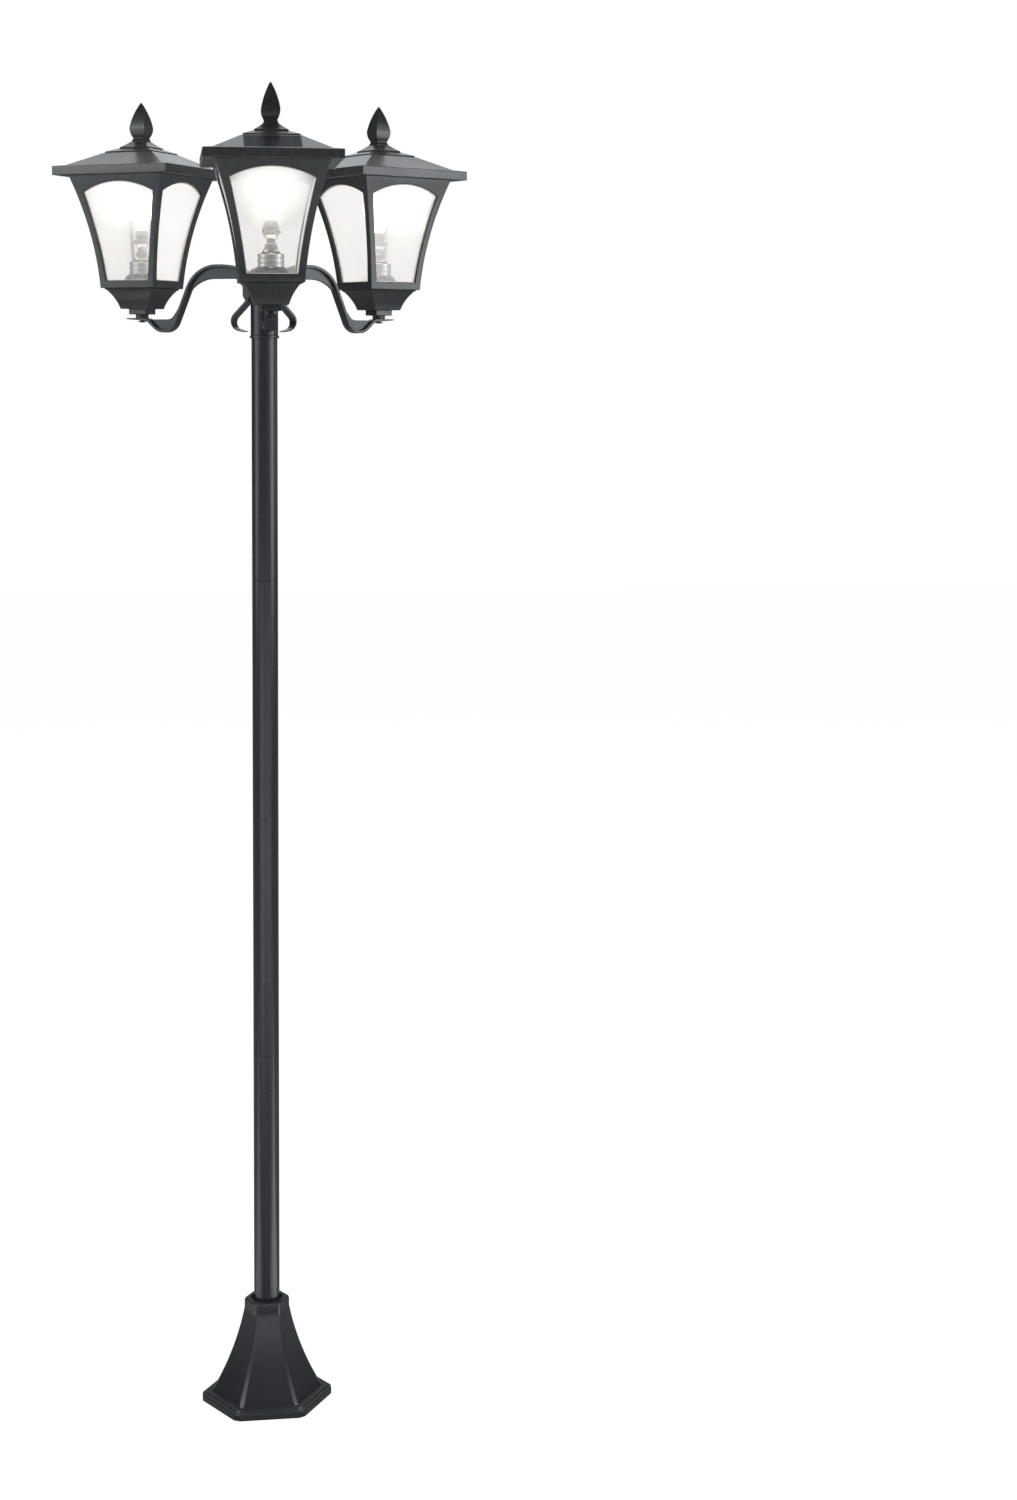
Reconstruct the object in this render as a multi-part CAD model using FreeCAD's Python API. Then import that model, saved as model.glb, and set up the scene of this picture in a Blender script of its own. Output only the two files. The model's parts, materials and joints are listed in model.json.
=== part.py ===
import FreeCAD, Part
import os
from math import atan2, cos, degrees, hypot, pi, radians, sin, tan

# Triple head lamp post, in millimetres.
# +Z is up, the ground is Z = 0 and the pole stands on the Z axis.
# The front arm points along -Y. The right and left arms follow at 120 degree steps.

# Overall
arm_names = ("front", "right", "left")
first_arm_angle = -90.0
arm_step = 360.0 / len(arm_names)
lantern_radius = 194.0
tab_top = 1526.0
running_gap = 0.05
fit_gap = 0.1
seat_gap = 0.3
lift_gap = 0.6

# Pole
pole_radius = 18.0
pole_wall = 1.6
seam_heights = (491.0, 826.0, 1160.0)
seam_chamfer = 0.5
coupler_length = 76.0

# Ground plate, with the spigot that the pole stands over
plate_thickness = 8.0
plate_margin = 5.0
spigot_height = 62.0
spigot_wall = 4.5
anchor_circle = 102.0
anchor_count = 4
anchor_turn = 45.0
anchor_hole_radius = 4.5
set_screw_radius = 2.5
set_screw_height = 30.0
set_screw_angles = (90.0, 270.0)

# Base cover, six sided; half widths are measured to the flats.
# Its corners are rounded off where they pass corner_share times the half width.
corner_share = 1.12
cover_wall = 4.0
flange_half = 81.0
flange_edge_height = 8.5
flange_edge_chamfer = 1.6
flange_step_half = 76.9
flange_step_chamfer = 1.2
flange_height = 12.5
cover_foot_half = 68.5
cover_middle_half = 41.6
cover_middle_height = 76.0
cover_neck_half = 28.0
cover_neck_height = 130.0
rim_half = 26.8
rim_chamfer = 1.2
rim_chamfer_height = 3.5
cover_height = 143.5
rim_recess_depth = 4.0
rim_recess_gap = 3.4

# Hub at the head of the pole
hub_drop = 29.0
hub_rise = 64.0
hub_radius = 19.0
hub_bore_radius = 14.0
hub_bore_depth = 9.0
hub_spigot_length = 48.0
hub_ring_radius = 20.3
hub_ring_height = 3.6
hub_cap_edge = 1.5
hub_cap_height = 7.0
hub_cap_top_radius = 7.0
hub_cap_plug = 8.0
pad_face = 19.6
pad_depth = 4.0
pad_low = 27.0
pad_high = 54.0

# Scroll arms: a flat strap with a narrow web on the hollow side of each bend.
# Shares are of the span from the hub's pad to the lantern. Rises and drops are from the tab's top.
strap_width = 16.0
strap_thickness = 4.2
web_thickness = 5.0
tab_tip_reach = 21.0
tab_tip_thickness = 1.7
tab_share = 0.934
tab_bend = 12.0
dip_share = 0.738
dip_drop = 32.0
dip_bend = 20.0
dip_web_share = 0.724
dip_web_rise = 26.0
arch_outer_share = 0.482
arch_outer_bend_share = 0.285
arch_inner_share = 0.158
arch_inner_bend_share = 0.52
arch_rise = 72.0
arch_web_depth = 18.2
arch_web_rise = 21.0
foot_rise = 60.5
foot_bend = 12.0
foot_web_depth = 11.3
foot_web_bend = 14.0
foot_web_rise = 30.0
curl_rise = 24.2
curl_web_rise = 19.4
curl_bend = 14.0
curl_share = 0.221
curl_drop = 12.7
curl_tip_bend = 12.0
curl_tip_share = 0.044
curl_tip_drop = 19.7
curl_tip_thickness = 1.3

# Screws that hold each arm to its pad, one on each side of the web
arm_screw_radius = 1.6
arm_screw_offset = 5.3
arm_screw_rise = 40.5
arm_screw_grip = 4.0

# Seat bolt that clamps a lantern to the tab of its arm, with its nut on the cage floor
bolt_radius = 3.0
bolt_hole_radius = 3.2
nut_half = 5.0
nut_height = 5.0

# Cup under the lantern
neck_radius = 9.0
neck_height = 5.0
block_half = 13.8
block_height = 7.7
cup_height = 28.8
cup_bottom_half = 22.5
cup_middle_half = 28.9
cup_middle_rise = 15.8
cup_top_half = 37.0
cup_lip_half = 38.5
cup_lip_height = 1.8
cup_wall = 3.0

# Cage with four flared posts and arched windows
cage_height = 156.5
cage_bottom_half = 42.5
cage_middle_half = 53.2
cage_middle_rise = 79.5
cage_top_half = 74.2
cage_wall = 5.0
cage_floor = 3.0
window_bottom_half = 33.4
window_bottom_rise = 10.5
window_middle_half = 42.7
window_middle_rise = 72.5
window_shoulder_half = 55.7
window_shoulder_rise = 133.0
window_peak_rise = 147.5
pane_thickness = 2.0
pane_bottom_rise = 5.5
pane_top_rise = 151.5
pane_corner_gap = 0.5

# Roof, a square shell in three tiers that sits over the top of the cage
roof_overlap = 0.5
roof_wall = 3.0
lip_height = 12.5
eave_half = 90.5
ledge_width = 13.5
ledge_rise = 2.0
slope_top_half = 39.0
slope_rise = 18.8
tier_half = 37.2
tier_step = 2.0
tier_top_half = 24.0
tier_rise = 4.7
cap_half = 22.6
cap_height = 8.5
cap_middle_half = 16.0
cap_middle_rise = 4.3
cap_top_half = 10.9

# Finial, a four sided bud
bud_foot_half = 10.4
bud_neck_half = 8.4
bud_neck_rise = 5.0
bud_shoulder_half = 11.5
bud_shoulder_rise = 12.2
bud_waist_half = 12.3
bud_waist_rise = 20.2
bud_top_half = 7.9
bud_top_rise = 38.2
bud_tip_half = 0.7
bud_height = 55.0
stud_radius = 3.0
stud_length = 7.0

# Solar panel in the slope that faces away from the post
panel_width = 73.0
panel_length = 37.0
panel_thickness = 2.0
panel_recess = 1.6
panel_gap = 0.2

# Tray that closes the roof from below, and what it carries
tray_thickness = 2.0
tray_screw_inset = 30.5
tray_screw_radius = 1.5
tray_screw_length = 10.0
boss_width = 8.0
battery_radius = 9.0
battery_length = 65.0
battery_place = -22.0
rail_thickness = 2.0
rail_height = 6.0
board_length = 56.0
board_width = 36.0
board_thickness = 1.6
board_place = 32.0
board_bar_width = 3.0
board_bar_height = 5.0
button_radius = 4.0
button_flange_radius = 5.8
button_flange = 1.2
button_drop = 4.0
button_gap = 0.3

# Lamp holder on a spun dish, which stands on the floor of the cage
dish_radius = 27.4
dish_rim = 2.0
dish_height = 17.0
dish_middle_radius = 24.6
dish_middle_rise = 11.5
dish_top_radius = 18.0
nut_pocket_radius = 9.0
nut_pocket_depth = 9.0
holder_radius = 17.5
holder_ring_height = 18.0
holder_bell_radius = 13.0
holder_neck_radius = 8.0
holder_height = 31.0
socket_radius = 5.0
socket_depth = 18.0

# Bulb: a turned base under its glass
stem_end_gap = 1.0
bulb_waist_radius = 6.2
bulb_flare_radius = 13.6
bulb_flare_rise = 15.5
bulb_throat_radius = 8.0
bulb_throat_rise = 31.0
globe_radius = 22.0
globe_low_rise = 46.0
globe_high_rise = 74.0
globe_top_radius = 13.0
globe_top_rise = 87.0

# Sizes that follow from the ones above
sleeve_radius = pole_radius - pole_wall - fit_gap
ledge_half = eave_half - ledge_width
tray_screw_place = eave_half - tray_screw_inset
cutting_length = 4 * eave_half

# Heights that follow from the sizes above
hub_bottom = tab_top - hub_drop
hub_top = tab_top + hub_rise
cup_bottom = tab_top + neck_height + block_height
cage_bottom = cup_bottom + cup_height
cage_top = cage_bottom + cage_height
roof_bottom = cage_top - roof_overlap
lip_top = roof_bottom + lip_height
slope_bottom = lip_top + ledge_rise
slope_top = slope_bottom + slope_rise
tier_top = slope_top + tier_step + tier_rise
cap_bottom = tier_top + tier_step
cap_top = cap_bottom + cap_height
tray_top = cage_top + tray_thickness
floor_top = cage_bottom + cage_floor
dish_top = floor_top + dish_height
holder_top = dish_top + holder_height


def point(x, z):
    return FreeCAD.Vector(x, 0, z)


def half_outline(start, steps):
    """Edges of an outline in the XZ plane. A step is (x, z), or (middle x, middle z, x, z) for an arc."""
    edges = []
    here = point(*start)
    for step in steps:
        there = point(*step[-2:])
        if len(step) == 4:
            edges.append(Part.Arc(here, point(*step[:2]), there).toShape())
        else:
            edges.append(Part.makeLine(here, there))
        here = there
    return edges, here


def mirrored(edges):
    return [edge.mirror(FreeCAD.Vector(0, 0, 0), FreeCAD.Vector(1, 0, 0)) for edge in edges]


def closed_face(edges):
    return Part.Face(Part.Wire(Part.__sortEdges__(edges)))


def prism(edges, width):
    """The closed outline in the XZ plane, as thick as width, centred on Y = 0."""
    face = closed_face(edges)
    face.translate(FreeCAD.Vector(0, -width / 2, 0))
    return face.extrude(FreeCAD.Vector(0, width, 0))


def turned(shape, angle):
    copy = shape.copy()
    copy.rotate(FreeCAD.Vector(0, 0, 0), FreeCAD.Vector(0, 0, 1), angle)
    return copy


def moved(shape, x, y, z):
    copy = shape.copy()
    copy.translate(FreeCAD.Vector(x, y, z))
    return copy


def mitred(start, steps, sides=4):
    """A form with equal flats whose profile is the outline, mitred at its corners."""
    right, end = half_outline(start, steps)
    edges = right + mirrored(right)
    edges.append(Part.makeLine(point(-start[0], start[1]), point(*start)))
    edges.append(Part.makeLine(point(-end.x, end.z), end))
    slab = turned(prism(edges, cutting_length), 90.0)
    form = slab
    for turn in range(1, sides // 2):
        form = form.common(turned(slab, 360.0 * turn / sides))
    return form


def turned_form(start, steps):
    """A round form made by spinning a closed outline about the Z axis."""
    edges, end = half_outline(start, steps)
    if hypot(end.x - start[0], end.z - start[1]) > 1e-6:
        edges.append(Part.makeLine(end, point(*start)))
    return closed_face(edges).revolve(FreeCAD.Vector(0, 0, 0), FreeCAD.Vector(0, 0, 1), 360)


def rod(radius, length, x, y, z, direction=(0, 0, 1)):
    return Part.makeCylinder(radius, length, FreeCAD.Vector(x, y, z), FreeCAD.Vector(*direction))


def tube(outer, inner, bottom, top):
    return turned_form((inner, bottom), [(outer, bottom), (outer, top), (inner, top)])


def block(length, width, height, x, y, z):
    """A block centred on x and y, standing on z."""
    return Part.makeBox(length, width, height, FreeCAD.Vector(x - length / 2, y - width / 2, z))


def crossing(first, second, third, fourth):
    """The point where the line through the first two points meets the line through the last two."""
    ax, az = second[0] - first[0], second[1] - first[1]
    bx, bz = fourth[0] - third[0], fourth[1] - third[1]
    share = ((third[0] - first[0]) * bz - (third[1] - first[1]) * bx) / (ax * bz - az * bx)
    return (first[0] + share * ax, first[1] + share * az)


def shifted(path, distances):
    """The corners of a path moved to its left by the distance given for each corner."""
    sides = []
    for here, there, near, far in zip(path, path[1:], distances, distances[1:]):
        dx, dz = there[0] - here[0], there[1] - here[1]
        length = hypot(dx, dz)
        left = (-dz / length, dx / length)
        sides.append(((here[0] + left[0] * near, here[1] + left[1] * near),
                      (there[0] + left[0] * far, there[1] + left[1] * far)))
    corners = [sides[0][0]]
    for side, following in zip(sides, sides[1:]):
        corners.append(crossing(*side, *following))
    corners.append(sides[-1][1])
    return corners


def turn_at(path, index):
    before = atan2(path[index][1] - path[index - 1][1], path[index][0] - path[index - 1][0])
    after = atan2(path[index + 1][1] - path[index][1], path[index + 1][0] - path[index][0])
    return (after - before + pi) % (2 * pi) - pi


def rounded(path, radii):
    """Edges of a path in the XZ plane with each inner corner rounded to its radius."""
    edges = []
    here = path[0]
    for index in range(1, len(path) - 1):
        corner = path[index]
        if radii[index - 1] == 0:
            edges.append(Part.makeLine(point(*here), point(*corner)))
            here = corner
            continue
        turn = turn_at(path, index)
        inset = radii[index - 1] * tan(abs(turn) / 2)
        arrive = towards(corner, path[index - 1], inset)
        leave = towards(corner, path[index + 1], inset)
        bulge = radii[index - 1] * (1 / cos(turn / 2) - 1)
        middle = towards(corner, ((arrive[0] + leave[0]) / 2, (arrive[1] + leave[1]) / 2), bulge)
        edges.append(Part.makeLine(point(*here), point(*arrive)))
        edges.append(Part.Arc(point(*arrive), point(*middle), point(*leave)).toShape())
        here = leave
    edges.append(Part.makeLine(point(*here), point(*path[-1])))
    return edges


def towards(start, end, distance):
    length = hypot(end[0] - start[0], end[1] - start[1])
    return (start[0] + (end[0] - start[0]) * distance / length,
            start[1] + (end[1] - start[1]) * distance / length)


def bent_bar(path, radii, left, right):
    """Outline of a bar bent along a path, with its own thickness on each side at each corner."""
    left_radii = []
    right_radii = []
    for index, radius in enumerate(radii, start=1):
        hand = 1 if turn_at(path, index) > 0 else -1
        left_radii.append(radius - hand * left[index])
        right_radii.append(radius + hand * right[index])
    left_path = shifted(path, left)
    right_path = shifted(path, [-distance for distance in right])
    edges = rounded(left_path, left_radii) + rounded(right_path, right_radii)
    edges.append(Part.makeLine(point(*left_path[0]), point(*right_path[0])))
    edges.append(Part.makeLine(point(*left_path[-1]), point(*right_path[-1])))
    return edges


def at_arm(shape, number):
    return turned(shape, first_arm_angle + number * arm_step)


def at_lantern(shape, number):
    return at_arm(moved(shape, lantern_radius, 0, 0), number)


def pole_section(bottom, top):
    """A tube, with a fine bevel at its lower end that shows as a seam."""
    inner = pole_radius - pole_wall
    return turned_form((inner, bottom), [
        (pole_radius - seam_chamfer, bottom),
        (pole_radius, bottom + seam_chamfer),
        (pole_radius, top),
        (inner, top)])


def pole_couplers():
    return [rod(sleeve_radius, coupler_length, 0, 0, seam - coupler_length / 2) for seam in seam_heights]


def ground_plate():
    half = cover_foot_half - plate_margin
    plate = mitred((half, 0), [(half, plate_thickness)], 6)
    spigot_top = plate_thickness + spigot_height
    spigot = tube(sleeve_radius, sleeve_radius - spigot_wall, plate_thickness, spigot_top)
    plate = plate.fuse(spigot)
    hole = rod(anchor_hole_radius, plate_thickness, anchor_circle / 2, 0, 0)
    for number in range(anchor_count):
        plate = plate.cut(turned(hole, anchor_turn + 360.0 * number / anchor_count))
    return plate.cut(set_screw_holes())


def set_screw_holes():
    hole = rod(set_screw_radius, pole_radius * 2, 0, 0, set_screw_height, (1, 0, 0))
    return Part.makeCompound([turned(hole, angle) for angle in set_screw_angles])


def set_screws():
    start = sleeve_radius - spigot_wall
    screw = rod(set_screw_radius, pole_radius - start, start, 0, set_screw_height, (1, 0, 0))
    return [turned(screw, angle) for angle in set_screw_angles]


def cover_flare(inset):
    """Steps of the flared cover from the top of its flange to its neck, moved in by a wall."""
    return [
        (cover_foot_half - inset, flange_height),
        (cover_middle_half - inset, cover_middle_height, cover_neck_half - inset, cover_neck_height)]


def cover_outside():
    step_bottom = flange_edge_height + flange_edge_chamfer
    flange = [
        (flange_half, flange_edge_height),
        (flange_half - flange_edge_chamfer, step_bottom),
        (flange_step_half, step_bottom),
        (flange_step_half - flange_step_chamfer, flange_height)]
    rim = [(rim_half + rim_chamfer, cover_height - rim_chamfer_height), (rim_half, cover_height)]
    return flange + cover_flare(0) + rim


def widened(steps, share):
    """The same steps with their distances from the axis multiplied by a share, and their heights kept."""
    return [tuple(value if index % 2 else value * share for index, value in enumerate(step))
            for step in steps]


def base_cover():
    """A mitred six sided flare whose corners are rounded by a round flare of nearly the same outline."""
    cover = mitred((flange_half, 0), cover_outside(), 6)
    rounder = widened([(flange_half, 0)] + cover_outside(), corner_share)
    cover = cover.common(turned_form((0, 0), rounder + [(0, cover_height)]))
    inside = mitred((cover_foot_half - cover_wall, 0), cover_flare(cover_wall), 6)
    hole = rod(pole_radius + lift_gap, cover_height, 0, 0, 0)
    recess = rod(pole_radius + rim_recess_gap, rim_recess_depth, 0, 0, cover_height - rim_recess_depth)
    return cover.cut(inside).cut(hole).cut(recess)


def arm_screw_places():
    return [(side * arm_screw_offset, tab_top + arm_screw_rise) for side in (-1, 1)]


def hub():
    """A head with a spigot that goes down inside the pole, a ring at its foot and a pad for each arm."""
    body = turned_form((0, hub_bottom - hub_spigot_length), [
        (sleeve_radius, hub_bottom - hub_spigot_length),
        (sleeve_radius, hub_bottom),
        (hub_ring_radius, hub_bottom),
        (hub_ring_radius, hub_bottom + hub_ring_height),
        (hub_radius, hub_bottom + hub_ring_height),
        (hub_radius, hub_top),
        (hub_bore_radius, hub_top),
        (hub_bore_radius, hub_top - hub_bore_depth),
        (0, hub_top - hub_bore_depth)])
    pad = block(pad_depth, strap_width, pad_high - pad_low, pad_face - pad_depth / 2, 0, tab_top + pad_low)
    for number in range(len(arm_names)):
        body = body.fuse(at_arm(pad, number))
        for side, height in arm_screw_places():
            hole = rod(arm_screw_radius, arm_screw_grip, pad_face - arm_screw_grip, side, height, (1, 0, 0))
            body = body.cut(at_arm(hole, number))
    return body.removeSplitter()


def hub_cap():
    """A low crown on the hub, with a plug in its bore."""
    plug = hub_bore_radius - fit_gap
    return turned_form((0, hub_top - hub_cap_plug), [
        (plug, hub_top - hub_cap_plug),
        (plug, hub_top),
        (hub_radius, hub_top),
        (hub_radius, hub_top + hub_cap_edge),
        (hub_cap_top_radius, hub_top + hub_cap_height),
        (0, hub_top + hub_cap_height)])


def arm_place(share, rise):
    """A point of an arm, by its share of the span and its height over the tab's top."""
    foot = pad_face + strap_thickness / 2
    return (foot + share * (lantern_radius - foot), tab_top + rise)


def arm_path():
    deck = -strap_thickness / 2
    return [
        (lantern_radius + tab_tip_reach, tab_top + deck),
        arm_place(tab_share, deck),
        arm_place(dip_share, -dip_drop),
        arm_place(arch_outer_share, arch_rise),
        arm_place(arch_inner_share, arch_rise),
        arm_place(0, foot_rise),
        arm_place(0, curl_rise),
        arm_place(curl_share, -curl_drop),
        arm_place(curl_tip_share, -curl_tip_drop)]


def arm_bends():
    span = lantern_radius - arm_place(0, 0)[0]
    arch = [arch_outer_bend_share * span, arch_inner_bend_share * span]
    return [tab_bend, dip_bend] + arch + [foot_bend, curl_bend, curl_tip_bend]


def arm_strap():
    half = strap_thickness / 2
    path = arm_path()
    even = [half] * (len(path) - 2)
    tip = curl_tip_thickness / 2
    under = [tab_tip_thickness - half] + even + [tip]
    over = [half] + even + [tip]
    return prism(bent_bar(path, arm_bends(), under, over), strap_width)


def dip_web():
    """The web in the hollow of the dip, up to a level edge under the tab."""
    path = arm_path()
    tab, dip, arch = path[1:4]
    end = on_run(dip, arch, tab_top + dip_web_rise)
    edge = [tab, arm_place(dip_web_share, -strap_thickness / 2), end]
    return prism(rounded(edge, [tab_bend]) + rounded([end, dip, tab], [dip_bend]), web_thickness)


def arch_web():
    """The web in the hollow of the arch, down to the start of the curl."""
    path = arm_path()
    bends = arm_bends()
    start = on_run(path[2], path[3], tab_top + arch_web_rise)
    end = on_run(path[6], path[7], tab_top + curl_web_rise)
    level = path[3][1] - arch_web_depth
    drop = path[6][0] + foot_web_depth
    edge = [start, (path[3][0], level), (drop, level), (drop, tab_top + foot_web_rise), end]
    outline = rounded(edge, [bends[2], foot_web_bend, 0])
    outline += rounded([end] + path[6:2:-1] + [start], [0] + bends[4:1:-1])
    return prism(outline, web_thickness)


def scroll_arm():
    arm = arm_strap().fuse(dip_web()).fuse(arch_web()).removeSplitter()
    hole_bottom = tab_top - strap_thickness * 1.5
    arm = arm.cut(rod(bolt_hole_radius, strap_thickness * 2, lantern_radius, 0, hole_bottom))
    for side, height in arm_screw_places():
        arm = arm.cut(rod(arm_screw_radius, strap_thickness * 2, pad_face - 1, side, height, (1, 0, 0)))
    return arm


def on_run(start, end, height):
    """The point at a height on the straight run between two corners of a path."""
    share = (height - start[1]) / (end[1] - start[1])
    return (start[0] + (end[0] - start[0]) * share, height)


def arm_screws():
    length = arm_screw_grip + strap_thickness
    screws = [rod(arm_screw_radius, length, pad_face - arm_screw_grip, side, height, (1, 0, 0))
              for side, height in arm_screw_places()]
    return [at_arm(screw, number) for number in range(len(arm_names)) for screw in screws]


def seat_bolts():
    """A bolt up through the tab, the neck and the cup, with its cap nut on the cage floor."""
    bottom = tab_top - strap_thickness
    nut = mitred((nut_half, floor_top), [(nut_half, floor_top + nut_height)], 6)
    bolt = nut.fuse(rod(bolt_radius, floor_top - bottom, 0, 0, bottom)).removeSplitter()
    return [at_lantern(bolt, number) for number in range(len(arm_names))]


def cup():
    outside = [
        (block_half, cup_bottom),
        (cup_bottom_half, cup_bottom),
        (cup_middle_half, cup_bottom + cup_middle_rise, cup_top_half, cage_bottom - cup_lip_height),
        (cup_lip_half, cage_bottom - cup_lip_height),
        (cup_lip_half, cage_bottom)]
    body = mitred((block_half, cup_bottom - block_height), outside)
    inside = [(cup_middle_half - cup_wall, cup_bottom + cup_middle_rise,
               cup_top_half - cup_wall, cage_bottom)]
    body = body.cut(mitred((cup_bottom_half - cup_wall, cup_bottom + cup_wall), inside))
    body = body.fuse(rod(neck_radius, neck_height, 0, 0, tab_top))
    return body.cut(rod(bolt_hole_radius, cutting_length, 0, 0, tab_top)).removeSplitter()


def cage_outline(inset):
    """Steps up the flared wall of the cage, moved in by a wall or a gap."""
    return [(cage_middle_half - inset, cage_bottom + cage_middle_rise, cage_top_half - inset, cage_top)]


def window():
    """The outline of a window, cut through two opposite walls."""
    bottom = cage_bottom + window_bottom_rise
    middle = (window_middle_half, cage_bottom + window_middle_rise)
    shoulder = (window_shoulder_half, cage_bottom + window_shoulder_rise)
    right, end = half_outline((window_bottom_half, bottom), [middle + shoulder])
    arch = Part.Arc(end, point(0, cage_bottom + window_peak_rise), point(-end.x, end.z)).toShape()
    sill = Part.makeLine(point(-window_bottom_half, bottom), point(window_bottom_half, bottom))
    return prism(right + mirrored(right) + [arch, sill], cutting_length)


def flared_form(inset):
    return mitred((cage_bottom_half - inset, cage_bottom), cage_outline(inset))


def cage():
    inside = flared_form(cage_wall).cut(block(cutting_length, cutting_length, cage_floor, 0, 0, cage_bottom))
    opening = window()
    body = flared_form(0).cut(inside).cut(opening).cut(turned(opening, 90))
    return body.cut(rod(bolt_hole_radius, cage_floor, 0, 0, cage_bottom))


def panes():
    """Four clear sheets that follow the flare of the cage, just inside its walls, mitred at the corners."""
    near = cage_wall + seat_gap
    sleeve = flared_form(near).cut(flared_form(near + pane_thickness))
    far = cutting_length - pane_corner_gap
    corners = [(pane_corner_gap, 0), (cutting_length, far), (cutting_length, -far)]
    corners.append(corners[0])
    bottom = cage_bottom + pane_bottom_rise
    outline = Part.makePolygon([FreeCAD.Vector(x, y, bottom) for x, y in corners])
    side = Part.Face(outline).extrude(FreeCAD.Vector(0, 0, pane_top_rise - pane_bottom_rise))
    sheet = sleeve.common(side)
    return [turned(sheet, 90 * number) for number in range(4)]


def roof_outline():
    return [
        (eave_half, lip_top),
        (ledge_half, slope_bottom),
        (slope_top_half, slope_top),
        (tier_half, slope_top),
        (tier_half, slope_top + tier_step),
        (tier_top_half, tier_top),
        (cap_half, tier_top),
        (cap_half, cap_bottom),
        (cap_middle_half, cap_bottom + cap_middle_rise, cap_top_half, cap_top)]


def on_slope(slab):
    """Lays a slab that is built flat around the origin on the middle of the outward slope."""
    tilted = slab.copy()
    angle = degrees(atan2(slope_rise, ledge_half - slope_top_half))
    tilted.rotate(FreeCAD.Vector(0, 0, 0), FreeCAD.Vector(0, 1, 0), angle)
    return moved(tilted, (ledge_half + slope_top_half) / 2, 0, (slope_bottom + slope_top) / 2)


def screw_corners():
    return [(side * tray_screw_place, side * tray_screw_place) for side in (-1, 1)]


def roof():
    """A thin shell with two blocks inside for the tray's screws and a recess for the solar panel."""
    inside = mitred((eave_half - roof_wall, roof_bottom), [
        (eave_half - roof_wall, lip_top - roof_wall),
        (ledge_half, slope_bottom - roof_wall),
        (slope_top_half, slope_top - roof_wall),
        (tier_top_half - roof_wall, tier_top - roof_wall)])
    for x, y in screw_corners():
        inside = inside.cut(block(boss_width, boss_width, cutting_length, x, y, tray_top))
    body = mitred((eave_half, roof_bottom), roof_outline()).cut(inside)
    for x, y in screw_corners():
        body = body.cut(rod(tray_screw_radius, tray_screw_length - tray_thickness, x, y, tray_top))
    recess_length = panel_length + panel_gap * 2
    recess_width = panel_width + panel_gap * 2
    recess = block(recess_length, recess_width, panel_thickness * 2, 0, 0, -panel_recess)
    body = body.cut(on_slope(recess))
    return body.cut(rod(stud_radius, stud_length, 0, 0, cap_top - stud_length))


def solar_panel():
    return on_slope(block(panel_length, panel_width, panel_thickness, 0, 0, -panel_recess))


def finial():
    bud = mitred((bud_foot_half, cap_top), [
        (bud_neck_half, cap_top + bud_neck_rise),
        (bud_shoulder_half, cap_top + bud_shoulder_rise, bud_waist_half, cap_top + bud_waist_rise),
        (bud_top_half, cap_top + bud_top_rise, bud_tip_half, cap_top + bud_height)])
    return bud.fuse(rod(stud_radius - running_gap, stud_length, 0, 0, cap_top - stud_length))


def tray():
    """A flat plate with two rails beside the battery and two bars under the circuit board."""
    half = eave_half - roof_wall - seat_gap
    plate = block(half * 2, half * 2, tray_thickness, 0, 0, cage_top)
    rail_place = battery_radius + seat_gap + rail_thickness / 2
    bar_place = board_length / 2 - board_bar_width
    for side in (-1, 1):
        rail_y = battery_place + side * rail_place
        rail = block(battery_length / 2, rail_thickness, rail_height, 0, rail_y, tray_top)
        bar = block(board_bar_width, board_width, board_bar_height, side * bar_place, board_place, tray_top)
        plate = plate.fuse(rail).fuse(bar)
    for x, y in screw_corners():
        plate = plate.cut(rod(tray_screw_radius + fit_gap, tray_thickness, x, y, cage_top))
    return plate.cut(rod(button_radius + button_gap, tray_thickness, 0, 0, cage_top)).removeSplitter()


def tray_screws():
    return [rod(tray_screw_radius, tray_screw_length, x, y, cage_top) for x, y in screw_corners()]


def battery():
    centre = tray_top + battery_radius
    return rod(battery_radius, battery_length, -battery_length / 2, battery_place, centre, (1, 0, 0))


def circuit_board():
    return block(board_length, board_width, board_thickness, 0, board_place, tray_top + board_bar_height)


def switch_button():
    """A stem through the tray, held by a flange that rests on it."""
    stem = rod(button_radius, button_drop + tray_thickness, 0, 0, cage_top - button_drop)
    flange = rod(button_flange_radius, button_flange, 0, 0, tray_top)
    return stem.fuse(flange).removeSplitter()


def dish():
    """A turned dome on a low rim, with a pocket below for the nut of the seat bolt."""
    return turned_form((nut_pocket_radius, floor_top), [
        (dish_radius, floor_top),
        (dish_radius, floor_top + dish_rim),
        (dish_middle_radius, floor_top + dish_middle_rise, dish_top_radius, dish_top),
        (0, dish_top),
        (0, floor_top + nut_pocket_depth),
        (nut_pocket_radius, floor_top + nut_pocket_depth)])


def lamp_holder():
    ring_top = dish_top + holder_ring_height
    return turned_form((0, dish_top), [
        (holder_radius, dish_top),
        (holder_radius, ring_top),
        (holder_bell_radius, ring_top),
        (holder_neck_radius, holder_top),
        (socket_radius, holder_top),
        (socket_radius, holder_top - socket_depth),
        (0, holder_top - socket_depth)])


def bulb_base():
    stem = socket_radius - running_gap
    bottom = holder_top - socket_depth + stem_end_gap
    return turned_form((0, bottom), [
        (stem, bottom),
        (stem, holder_top),
        (bulb_waist_radius, holder_top),
        (bulb_flare_radius, holder_top + bulb_flare_rise),
        (bulb_throat_radius, holder_top + bulb_flare_rise),
        (bulb_throat_radius, holder_top + bulb_throat_rise),
        (0, holder_top + bulb_throat_rise)])


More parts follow.
